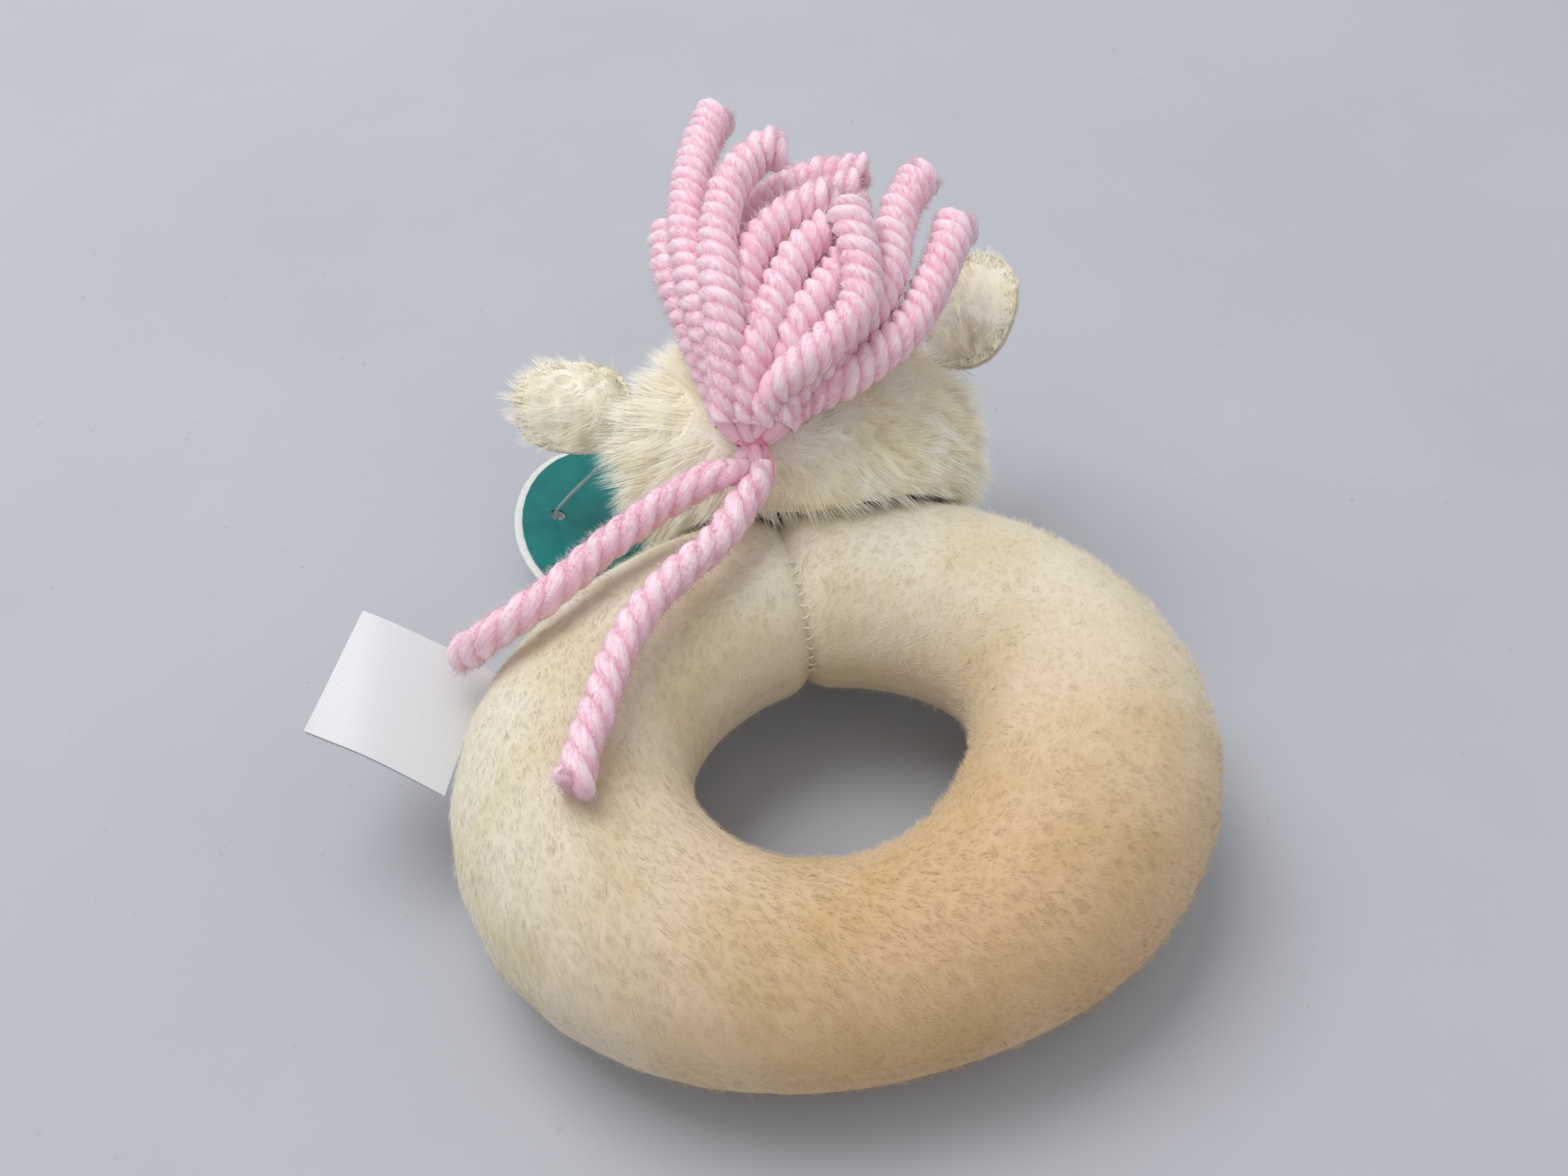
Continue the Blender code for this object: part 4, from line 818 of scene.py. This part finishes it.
def plushMaterial(name, look, nap=0.0):
    material, tree, shader = newMaterial(name)
    tone = addNode(tree, "Attribute", {"attribute_name": "tone"})
    rise = addNode(tree, "Attribute", {"attribute_name": "rise"})
    spot = addNode(tree, "TexCoord").outputs["Object"]
    fine = addNode(tree, "TexNoise", inputs={"Vector": spot, "Scale": 1 / (look["grain"] * mm),
                                             "Detail": 2.0})
    patches = addNode(tree, "TexNoise", inputs={"Vector": spot, "Scale": look["patchesPerMm"] / mm,
                                                "Detail": 3.0})
    patchShare = addNode(tree, "MapRange", inputs={"Value": patches.outputs["Fac"], "From Min": 0.42,
                                                   "From Max": 0.66})
    hairTone = addNode(tree, "Math", {"operation": "MULTIPLY_ADD"},
                       {0: fine.outputs["Fac"], 1: 0.6, 2: tone.outputs["Fac"]})
    tipColour = addNode(tree, "Mix", {"data_type": "RGBA"},
                        {"Factor": hairTone.outputs["Value"], "A": look["low"], "B": look["high"]})
    last = addNode(tree, "Mix", {"data_type": "RGBA"}, {"Factor": patchShare.outputs["Result"],
                                                        "A": tipColour.outputs["Result"], "B": look["patch"]})
    # painted warm shade: a tan that deepens towards one place, the ring's front right
    if "paintedShade" in look:  # a tan cast that deepens towards one place
        paintedShade = look["paintedShade"]
        away = addNode(tree, "VectorMath", {"operation": "DISTANCE"}, {0: spot, 1: point(*paintedShade["place"])})
        near = addNode(tree, "MapRange", {"interpolation_type": "SMOOTHSTEP"},
                       {"Value": away.outputs["Value"], "From Min": paintedShade["inner"] * mm,
                        "From Max": paintedShade["outer"] * mm, "To Min": paintedShade["share"], "To Max": 0.0})
        last = addNode(tree, "Mix", {"data_type": "RGBA", "blend_type": "MULTIPLY"},
                       {"Factor": near.outputs["Result"], "A": last.outputs["Result"], "B": paintedShade["colour"]})
    # painted shade: each hair darkens to its root colour towards its foot, where the pile shades itself
    rootShade = addNode(tree, "ValToRGB", inputs={"Fac": rise.outputs["Fac"]},
                     stops=((0.0, look["root"]), (0.7, (1, 1, 1, 1))))
    whole = addNode(tree, "Mix", {"data_type": "RGBA", "blend_type": "MULTIPLY"},
                    {"Factor": 1.0, "A": last.outputs["Result"], "B": rootShade.outputs["Color"]})
    setShader(shader, Base_Color=whole.outputs["Result"], Roughness=0.9, Specular_IOR_Level=0.2,
              Sheen_Weight=0.3, Sheen_Roughness=0.5)
    if nap:  # the close tufts of a short pile, on the cover that carries it
        tufts = addNode(tree, "TexNoise", inputs={"Vector": spot, "Scale": 1 / (nap * mm), "Detail": 4.0,
                                                  "Roughness": 0.7})
        raised = addNode(tree, "Bump", inputs={"Height": tufts.outputs["Fac"], "Strength": 0.55,
                                               "Distance": nap * 0.4 * mm})
        setShader(shader, Normal=raised.outputs["Normal"])
    return material


def backingMaterial(name, light, dark, thread=0.8):  # the knitted backing that the pile grows from
    return patternedMaterial(name, "TexVoronoi", {"Scale": 1 / (thread * mm)}, ((0.1, light), (0.8, dark)),
                             (0.4, 0.1), output="Distance", Roughness=0.95, Specular_IOR_Level=0.15)


# velboa: polyester pile sheared short, matt and velvety, ivory with yellower clouds and painted warm shade,
# tan towards the ring's front right
velboaLook = {"root": "f3ecdd", "low": "e1d8c2", "high": "ede6d5", "patch": "dfd4b4", "patchesPerMm": 0.055,
              "grain": 0.4, "paintedShade": {"place": (38, -72, 22), "inner": 18, "outer": 96, "share": 0.85,
                                     "colour": "ecc9a0"}}
velboa = plushMaterial("sheared velboa pile", velboaLook)
velboaGround = plushMaterial("sheared velboa ground", velboaLook, nap=0.45)  # the same, with its close tufts
# long pile plush: unsheared polyester hair, whiter and silkier than the ring's
longPlush = plushMaterial("long pile plush", {"root": "f6f0e2", "low": "fbf6e4", "high": "fffcf0",
                                              "patch": "faf1d6", "patchesPerMm": 0.09, "grain": 0.5})
velboaBacking = backingMaterial("knitted pile backing, cream", "f4ead4", "e9dcc0")
plushBacking = backingMaterial("knitted pile backing, pale", "f6f1e4", "eae3d2")


# Ring covers

def ringFlow(places):  # the short pile lies round the ring
    flat = inRing(places)
    around = np.stack([-flat[:, 1], flat[:, 0], np.zeros(len(flat))], axis=1)
    return unit(around) * 0.9 + np.array([0.0, -0.35, 0.0])


ringPile = {"perSquareMm": 4.6, "length": 1.6 * mm, "width": 0.08 * mm, "lean": 0.66, "gather": 0.30,
            "stray": 0.36, "uneven": 0.15, "tuftShare": 0.08, "soft": 1.0, "skyward": 1.0}
ringCover = {"thickness": 1.0 * mm, "frontPerSquareMm": 2.6, "rightFrom": 20 * mm}

quarters = {
    "ring_back_left": (True, True), "ring_back_right": (False, True),
    "ring_front_left": (True, False), "ring_front_right": (False, False),
}


def inLeftHalf(flat):
    top, bottom = (ringStation(ring[seam]) for seam in ("topSeam", "bottomSeam"))
    pastTop = (flat - np.array(top[0])) @ np.array(top[2]) > 0
    beforeBottom = (flat - np.array(bottom[0])) @ np.array(bottom[2]) < 0
    onTopSide = flat @ np.array(top[0]) > 0
    return np.where(flat[:, 0] > ringCover["rightFrom"], False, np.where(onTopSide, pastTop, beforeBottom))


def backCover(cover, thickness, pile, backing):  # gives the cover its thickness, with knitted backing inside
    rng = np.random.default_rng(len(cover.data.vertices))
    addAttribute(cover.data, "tone", rng.uniform(0.2, 0.5, len(cover.data.vertices)))
    # the cover under the hairs takes part of the painted root shade
    addAttribute(cover.data, "rise", np.full(len(cover.data.vertices), 0.55))
    wear(cover, pile, backing)
    applyModifier(cover, "SOLIDIFY", thickness=thickness, offset=-1.0, material_offset=1,
                  material_offset_rim=1)
    smoothFaces(cover, 50)


def partOf(form, name, wanted):  # a copy of a form with only the faces whose middles are wanted
    piece = addObject(name, form.data.copy())
    bm = bmesh.new()
    bm.from_mesh(piece.data)
    middles = np.array([face.calc_center_median() for face in bm.faces])
    keep = wanted(middles)
    bmesh.ops.delete(bm, geom=[face for face, kept in zip(bm.faces, keep) if not kept], context="FACES")
    bm.to_mesh(piece.data)
    bm.free()
    return piece


for number, (node, (left, back)) in enumerate(quarters.items()):
    def wanted(middles, left=left, back=back):
        flat = inRing(middles)
        return (inLeftHalf(flat) == left) & ((flat[:, 2] > 0) == back)
    cover = partOf(ringForm, node + "_cover", wanted)
    look = ringPile if back else {**ringPile, "perSquareMm": ringCover["frontPerSquareMm"]}
    pile = growPile(node + "_pile", cover, look, ringFlow, 70 + number)
    wear(pile, velboa)
    backCover(cover, ringCover["thickness"], velboaGround, velboaBacking)
    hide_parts(node)
    for piece in (cover, pile):
        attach(piece, "toy")
print("the ring's four covers have their pile")

# Head

headCover = {"back": (lambda m: m[:, 2] > headCentre.z), "face": (lambda m: m[:, 2] <= headCentre.z)}
ringTree = BVHTree.FromObject(ringForm, bpy.context.evaluated_depsgraph_get())
tiePlace = headCentre + point(-9, -19.25, 21.75)


def headFlow(places):  # hair fans out from the nape and hangs a little
    away = unit(places - np.array(tiePlace))
    return away * 0.9 + np.array([0.0, -0.25, -0.35])


earLook = {
    "left": {"length": 4.8 * mm, "lean": 0.44, "out": (-0.99, 0.12, 0.0), "root": (-31.2, 8.9, 2.9),
             "rootLength": 1.1},
    "right": {"length": 2.7 * mm, "lean": 0.56, "out": (0.31, 0.75, 0.585), "root": (26.4, 12.2, 9.6),
              "rootLength": 1.9},
}
earFoot = 13 * mm  # how far round its root an ear's hair is longer

headPile = {"perSquareMm": 3.4, "length": 5.6 * mm, "width": 0.12 * mm, "lean": 0.62, "gather": 0.34,
            "stray": 0.26, "uneven": 0.2, "tuftShare": 0.03, "soft": 0.9, "skyward": 2.6}
facePile = {**headPile, "perSquareMm": 2.4, "length": 5.0 * mm}
headLook = {"thickness": 1.0 * mm, "cheekFrom": 12 * mm, "cheekOver": 14 * mm, "ringReach": 7 * mm,
            "ringGap": 0.9 * mm}


def atLeft(places):  # 1 at the head's left cheek, where the fur stands out over the tag
    return np.clip((headCentre.x - headLook["cheekFrom"] - places[:, 0]) / headLook["cheekOver"], 0, 1)


def nearRoot(places, side):  # 1 where an ear is sewn on
    root = np.array(headCentre + point(*earLook[side]["root"]))
    return np.clip(1 - np.linalg.norm(places - root, axis=1) / earFoot, 0, 1)


def headLength(places):  # longer fur covers the ears' feet
    return 1 + 0.45 * atLeft(places) + 0.6 * (nearRoot(places, "left") + nearRoot(places, "right"))


cutAlong(headForm, headCentre, (0, 0, 1))
for number, (side, wanted) in enumerate(headCover.items()):
    cover = partOf(headForm, f"head_{side}_shell", wanted)
    look = {**(headPile if side == "back" else facePile), "lengthAt": headLength,
            "leanAt": lambda places: headPile["lean"] - 0.12 * atLeft(places)}
    fur = growPile(f"head_{side}_fur", cover, look, headFlow, 80 + number,
                   avoid={"tree": ringTree, "reach": headLook["ringReach"], "gap": headLook["ringGap"]})
    wear(fur, longPlush)
    backCover(cover, headLook["thickness"], longPlush, plushBacking)
    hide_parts(f"head_{side}_cover")
    for piece in (cover, fur):
        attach(piece, "toy")
print("the head has its fur")

muzzleLook = {"thickness": 0.8 * mm, "perSquareMm": 2.4, "length": 1.5 * mm}


def whole(middles):
    return np.ones(len(middles), bool)


muzzleCover = partOf(muzzleForm, "muzzle_shell", whole)
muzzlePile = growPile("muzzle_pile", muzzleCover,
                      {**ringPile, "perSquareMm": muzzleLook["perSquareMm"], "length": muzzleLook["length"]},
                      lambda places: np.tile([0.0, -1.0, 0.0], (len(places), 1)), 90)
wear(muzzlePile, velboa)
backCover(muzzleCover, muzzleLook["thickness"], velboaGround, velboaBacking)
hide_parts("muzzle_cover")
for piece in (muzzleCover, muzzlePile):
    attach(piece, "toy")

# Filling: loose white fibre, matt and cloudy

wadding = patternedMaterial("polyester fibre filling", "TexNoise", {"Scale": 0.7 / mm, "Detail": 6.0},
                            ((0.35, "dcdcda"), (0.65, "f6f6f4")), (0.6, 0.4), Roughness=1.0,
                            Specular_IOR_Level=0.1)
# how far a filling lies within its cover's face
fillingIn = {"ring": 1.3 * mm, "head": 1.3 * mm, "muzzle": 1.1 * mm}


def addFilling(name, form, wanted, inward, names):
    piece = partOf(form, name, wanted)

    def closeAndShrink():
        bpy.ops.mesh.select_mode(type="EDGE")
        bpy.ops.mesh.select_all(action="DESELECT")
        bpy.ops.mesh.select_non_manifold()
        bpy.ops.mesh.edge_face_add()
        bpy.ops.mesh.select_all(action="SELECT")
        bpy.ops.mesh.normals_make_consistent(inside=False)
        bpy.ops.transform.shrink_fatten(value=-inward)

    editAll(piece, closeAndShrink)
    wear(piece, wadding)
    smoothFaces(piece, 50)
    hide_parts(*names)
    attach(piece, "toy")


for side in ("left", "right"):
    addFilling(f"ring_{side}_filling", ringForm,
               lambda m, side=side: inLeftHalf(inRing(m)) == (side == "left"),
               fillingIn["ring"], (f"ring_stuffing_{side}",))
for side, wanted in headCover.items():
    addFilling(f"head_{side}_filling", headForm, wanted, fillingIn["head"], (f"head_{side}_stuffing",))
addFilling("muzzle_filling", muzzleForm, whole, fillingIn["muzzle"], ("muzzle_stuffing",))
for form in (ringForm, headForm, muzzleForm):
    bpy.data.objects.remove(form)
print("fillings are in")

# Ears, lined with smooth warp-faced cloth that has a soft shine, its threads 0.7 mm apart

satinLining = patternedMaterial(
    "polyester satin lining", "TexWave", {"Scale": waveStep / (0.7 * mm), "Distortion": 1.0, "Detail": 1.0},
    ((0.2, "d8cfbd"), (0.8, "e6decd")), (0.25, 0.05), slanting, Roughness=0.42, Sheen_Weight=0.2)
earPile = {**headPile, "perSquareMm": 6.5, "stray": 0.34, "skyward": 1.2}
earThinned = 0.45 * mm  # the ear's back is drawn this much thinner, under its fur

for number, (side, look) in enumerate(earLook.items()):
    back = copyOfNodes(f"ear_{side}_plush", [f"ear_back_{side}"])
    applyModifier(back, "SUBSURF", levels=1, render_levels=1)
    movePoints(back.data, meshPoints(back.data) - vertexNormals(back.data) * earThinned)

    def earFlow(places, side=side, out=np.array(look["out"])):
        return out + nearRoot(places, side)[:, None] * np.array([-0.7 * np.sign(out[0]), -1.0, -0.3])

    def earLength(places, side=side, more=look["rootLength"]):
        return 1 + more * nearRoot(places, side)

    fur = growPile(f"ear_{side}_fur", back, {**earPile, "length": look["length"], "lean": look["lean"],
                                             "lengthAt": earLength}, earFlow, 95 + number)
    wear(fur, longPlush)
    addAttribute(back.data, "tone", np.full(len(back.data.vertices), 0.35))
    # the ear's back under its fur takes part of the painted root shade
    addAttribute(back.data, "rise", np.full(len(back.data.vertices), 0.55))
    wear(back, longPlush)
    smoothFaces(back)

    lining = copyOfNodes(f"ear_{side}_satin", [f"ear_lining_{side}"])
    applyModifier(lining, "SUBSURF", levels=1, render_levels=1)
    wear(lining, satinLining)
    smoothFaces(lining)
    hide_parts(f"ear_back_{side}")
    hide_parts(f"ear_lining_{side}")
    for piece, slot in ((back, "cream_plush"), (fur, "cream_plush"), (lining, "satin_lining")):
        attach(piece, f"ear_{side}")
print("ears are on")

# CAD nodes that stay, with their real finishes

# printed card under a clear film: even colour, soft gloss
laminate = patternedMaterial("laminated teal card", "TexNoise", {"Scale": 0.26 / mm, "Detail": 4.0},
                             ((0.3, "08716f"), (0.7, "0f7f7c")), (0.1, 0.05), Roughness=0.3,
                             Specular_IOR_Level=0.3, Coat_Weight=0.2, Coat_Roughness=0.15)
# pulp board: matt, a little warm, faint fibres
board = patternedMaterial("uncoated white card", "TexNoise", {"Scale": 0.9 / mm, "Detail": 5.0},
                          ((0.3, "e6e8e2"), (0.7, "f2f3ee")), (0.2, 0.04), Roughness=0.65)
# moulded clear nylon: milky, glossy
nylon = patternedMaterial("clear nylon filament", "TexNoise", {"Scale": 1.5 / mm},
                          ((0.3, "cfd8d6"), (0.7, "e6eceb")), Roughness=0.25, Transmission_Weight=0.5,
                          IOR=1.53)
# waxy satin surface with a faint mould texture
plastic = patternedMaterial("moulded white polypropylene", "TexNoise", {"Scale": 1.8 / mm},
                            relief=(0.08, 0.03), Base_Color="eeeeec", Roughness=0.35, IOR=1.49)
# twisted filaments 0.45 mm apart: slanting streaks and a silky shine
threads = {}
for slot, name, dark, light in (("pink_thread", "glossy polyester thread, pink", "e27f99", "f3a6b8"),
                                ("brown_thread", "glossy polyester thread, brown", "3d2a20", "5a4131"),
                                ("cream_thread", "matt sewing thread, cream", "e6dcc4", "f4ecd9")):
    threads[slot] = patternedMaterial(
        name, "TexWave", {"Scale": waveStep / (0.45 * mm), "Distortion": 2.0, "Detail": 2.0},
        ((0.1, dark), (0.9, light)), (0.5, 0.06), slanting, Roughness=0.45, Sheen_Weight=0.2)

steel, tree, shader = newMaterial("polished steel")  # tumbled steel shot: bright, with fine scuffs
spot = addNode(tree, "TexCoord").outputs["Object"]
scuffs = addNode(tree, "TexNoise", inputs={"Vector": spot, "Scale": 2.5 / mm, "Detail": 4.0})
scuffRough = addNode(tree, "MapRange", inputs={"Value": scuffs.outputs["Fac"], "To Min": 0.15, "To Max": 0.4})
setShader(shader, Base_Color="c5c6c7", Metallic=1.0, Roughness=scuffRough.outputs["Result"])

keptNodes = {
    "tag_front": laminate, "tag_back": board, "tag_pin": nylon, "rattle_cup": plastic, "rattle_cap": plastic,
    **{f"rattle_bead_{number}": steel for number in (1, 2, 3)},
    **{node: threads["brown_thread"] for node in ("eye_left", "eye_right", "nostril_left", "nostril_right",
                                                  "mouth_stitch")},
}
for node, material in keptNodes.items():
    for slot in nodes[node].material_slots:
        slot.material = material

# Tie: the yarn is gathered at the nape and bound with thread, all in millimetres

tieLook = {"waist": (1.75, 1.4), "strand": 0.95, "endStrand": 1.75, "sides": 14, "step": 0.4, "ridge": 0.08,
           "before": 0.6, "endLength": 0.8, "dark": 1.5, "wraps": 4, "wrapWidth": 1.3, "thread": 0.45}
tieWay = np.array(Vector((0, 0.70, 0.714)).normalized())
tieSide = np.array((1.0, 0.0, 0.0))
tieFace = np.cross(tieSide, tieWay)  # the side that shows
tieMiddle = np.array(tiePlace)


def byTie(side, face, way):
    return tieMiddle + (tieSide * side + tieFace * face + tieWay * way) * mm


tieParts = []
rng = np.random.default_rng(5)
maneLines = [line for (line, _), node in zip(yarnLines, yarnRoutes) if node.startswith("mane")]
tailLines = [line for (line, _), node in zip(yarnLines, yarnRoutes) if node.startswith("tail")]
waistWide, waistHigh = tieLook["waist"]
for number, line in enumerate(maneLines):  # each strand runs through the waist into one of the tails
    angle = 2 * math.pi * number / len(maneLines) * 2.4
    share = math.sqrt((number + 0.5) / len(maneLines))
    waist = byTie(waistWide * share * math.cos(angle), waistHigh * share * math.sin(angle), 0)
    tail = tailLines[int((line[0] - tieMiddle)[0] > 0)]
    before = waist + (line[0] - waist) * 0.45 - tieWay * tieLook["before"] * mm
    after = waist + (tail[5] - waist) * 0.5
    route = smoothRoute([line[6], line[1], before, waist, after, tail[4], tail[12]], 8)
    path, at = evenLine(route, tieLook["step"] * mm)
    _, sideA, sideB = carriedFrames(path)
    thick = (np.abs(at / at[-1] - 0.5) * 2) ** 1.5  # 0 at the waist and 1 at both ends
    radii = (tieLook["strand"] * (1 - thick) + thick * tieLook["endStrand"]) * mm
    radii = radii * np.clip(at[::-1] / (tieLook["endLength"] * mm), 0.3, 1)
    sides = tieLook["sides"]
    places, faces, sizes = tubeArrays(path, sideA, sideB, radii, sides)
    raiseRidges(places, path, at, at[-1], sides, tieLook["ridge"], rng)
    depth = overTube(at, sides)
    # painted shade: the gathered strands turn deeper pink towards the waist, under the binding
    shade = 0.55 - 0.35 * np.exp(-((depth - at[-1] / 2) / (tieLook["dark"] * mm)) ** 2)
    layAround = np.concatenate([np.tile(np.abs(np.arange(sides) / (sides / 2) - 1), len(path)), [0, 0]])
    tieParts.append((places, faces, sizes, shade, depth / mm * 0.1 + number, layAround))
places, faces, sizes, shade, layAlong, layRound = joinArrays(tieParts)
gathered = meshFromArrays("tie_gathered_yarn", places, faces, sizes)
addAttribute(gathered.data, "tone", np.clip(shade, 0, 1))
addMap(gathered.data, "lay", layAlong, layRound)
wear(gathered, acrylic)
smoothFaces(gathered)

threadSides, threadStep = 8, 0.25 * mm


def threadPiece(name, routes, thickness):  # sewing thread along each route, as one piece
    parts = []
    for route in routes:
        line, _ = evenLine(route, threadStep)
        _, sideA, sideB = carriedFrames(line)
        parts.append(tubeArrays(line, sideA, sideB, np.full(len(line), thickness / 2 * mm), threadSides))
    piece = meshFromArrays(name, *joinArrays(parts))
    smoothFaces(piece)
    return piece


rng = np.random.default_rng(7)
turns = np.linspace(0, 2 * math.pi * tieLook["wraps"], 60 * tieLook["wraps"])
wobble = np.interp(turns, np.linspace(0, turns[-1], 40), rng.normal(0, 0.12, 40))
wrapWide, wrapHigh = (half + tieLook["strand"] * 0.9 for half in tieLook["waist"])
wrapRoute = [byTie(wrapWide * math.cos(t), wrapHigh * math.sin(t),
                   (t / turns[-1] - 0.5) * tieLook["wrapWidth"] + w + 0.3 * math.sin(t))
             for t, w in zip(turns, wobble)]
knotRoute = [byTie(-2.3 + 0.55 * math.cos(2 * t) * (1 + 0.4 * math.cos(3 * t)), 1.9 + 0.35 * math.sin(3 * t),
                   0.5 + 0.55 * math.sin(2 * t) * (1 + 0.4 * math.cos(3 * t)))
             for t in np.linspace(0, 2 * math.pi - 0.12, 70)]
endRoutes = [smoothRoute([byTie(*p) for p in route], 12) for route in (
    ((-2.4, 1.8, 0.3), (-3.2, 2.3, 0.8), (-3.9, 2.2, 1.4), (-4.3, 1.7, 2.3)),
    ((1.8, 1.5, -0.5), (2.8, 2.1, -1.8), (3.5, 1.9, -3.6), (3.7, 1.5, -6.0)))]
binding = threadPiece("tie_thread", [wrapRoute, knotRoute, *endRoutes], tieLook["thread"])
wear(binding, threads["pink_thread"])
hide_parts("mane_tie")
for piece, slot in ((gathered, "pink_yarn"), (binding, "pink_thread")):
    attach(piece, "toy")

# Closing stitches: a ladder of short bars down in the ring's top seam, in degrees and millimetres

stitchLook = {"from": 96, "to": 172, "count": 11, "slant": 1.2, "reach": 0.8, "sink": 1.9, "dive": 0.9,
              "thread": 0.3, "halfWidth": 17.0, "halfDepth": 15.6}


def seamPoint(section, across, sink):  # a point on the cover at the top seam
    place, outward, way = ringStation(ring["topSeam"])
    angle = math.radians(section)
    offset = (outward * ((stitchLook["halfWidth"] - sink) * math.cos(angle))
              + Vector((0, 0, (stitchLook["halfDepth"] - sink) * math.sin(angle))) + way * across)
    return np.array(fromRing @ (place + offset * mm))


stitchRoutes = []
for k in range(stitchLook["count"]):
    at = stitchLook["from"] + (stitchLook["to"] - stitchLook["from"]) * k / (stitchLook["count"] - 1)
    slant = stitchLook["slant"] if k % 2 else -stitchLook["slant"]
    # (share of the slant, share of the reach, how deep): the thread dives at both ends
    bar = ((-1, -1, stitchLook["dive"]), (-0.5, -0.55, 0), (0.5, 0.55, 0), (1, 1, stitchLook["dive"]))
    stitchRoutes.append(smoothRoute([seamPoint(at + slant * turned, stitchLook["reach"] * out,
                                               stitchLook["sink"] + deep) for turned, out, deep in bar], 6))
stitches = threadPiece("closing_stitches", stitchRoutes, stitchLook["thread"])
wear(stitches, threads["cream_thread"])
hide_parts("closing_thread")
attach(stitches, "toy")
print("tie and stitches are sewn")

# Care label: two plies of satin ribbon, warp-faced, white and silky, with slanting ribs 0.6 mm apart

labelLook = {"middle": (-48.97, -14.35, 22.56), "edge": (-0.2572, -0.9595, -0.1147), "width": 24.0,
             "length": 25.0, "way": (-0.90, 0.29, 0.325), "curl": 1.2, "ply": 0.25, "gap": 0.3, "grid": 48,
             "sway": 0.25, "ripple": 0.18, "follow": 0.55, "clear": 0.35}

ribbon = patternedMaterial(
    "woven satin ribbon", "TexWave", {"Scale": waveStep / 0.6, "Distortion": 0.4, "Detail": 1.0},
    ((0.2, "d6d6d9"), (0.8, "e6e6e8")), (0.22, 0.05), slanting, lay="lay", Roughness=0.38, Sheen_Weight=0.15)


def labelPly(node, ply):
    cuts = labelLook["grid"]
    bpy.ops.mesh.primitive_grid_add(x_subdivisions=cuts, y_subdivisions=cuts, size=1.0)
    piece = bpy.context.object
    piece.name = node + "_ribbon"
    flat = meshPoints(piece.data)
    across, along = flat[:, 0] + 0.5, flat[:, 1] + 0.5
    edge, way = np.array(labelLook["edge"]), np.array(labelLook["way"])
    normal = unit(np.cross(edge, way))
    if normal[2] < 0:
        normal = -normal
    lift = labelLook["curl"] * np.sin(math.pi * along) - ply * (labelLook["ply"] + labelLook["gap"])
    lift = (lift + labelLook["sway"] * np.sin(across * 5.0 + 0.6) * along
            + labelLook["ripple"] * np.sin(along * 9 + across * 3) * along)
    outward = labelLook["follow"] * (1 - (2 * across - 1) ** 2)  # the sewn edge follows the ring
    reach = along * labelLook["length"] + outward * (1 - along) + labelLook["clear"]
    places = (np.array(labelLook["middle"]) + edge * ((across - 0.5) * labelLook["width"])[:, None]
              + way * reach[:, None] + normal * lift[:, None])
    movePoints(piece.data, places * mm)
    addMap(piece.data, "lay", across * labelLook["width"], along * labelLook["length"])  # in millimetres
    if vertexNormals(piece.data)[:, 2].mean() < 0:
        editAll(piece, bpy.ops.mesh.flip_normals)
    applyModifier(piece, "SOLIDIFY", thickness=labelLook["ply"] * mm, offset=-1.0)
    wear(piece, ribbon)
    smoothFaces(piece, 40)
    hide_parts(node)
    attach(piece, node)


labelPly("care_label_upper", 0)
labelPly("care_label_lower", 1)
print("label and tag are on")
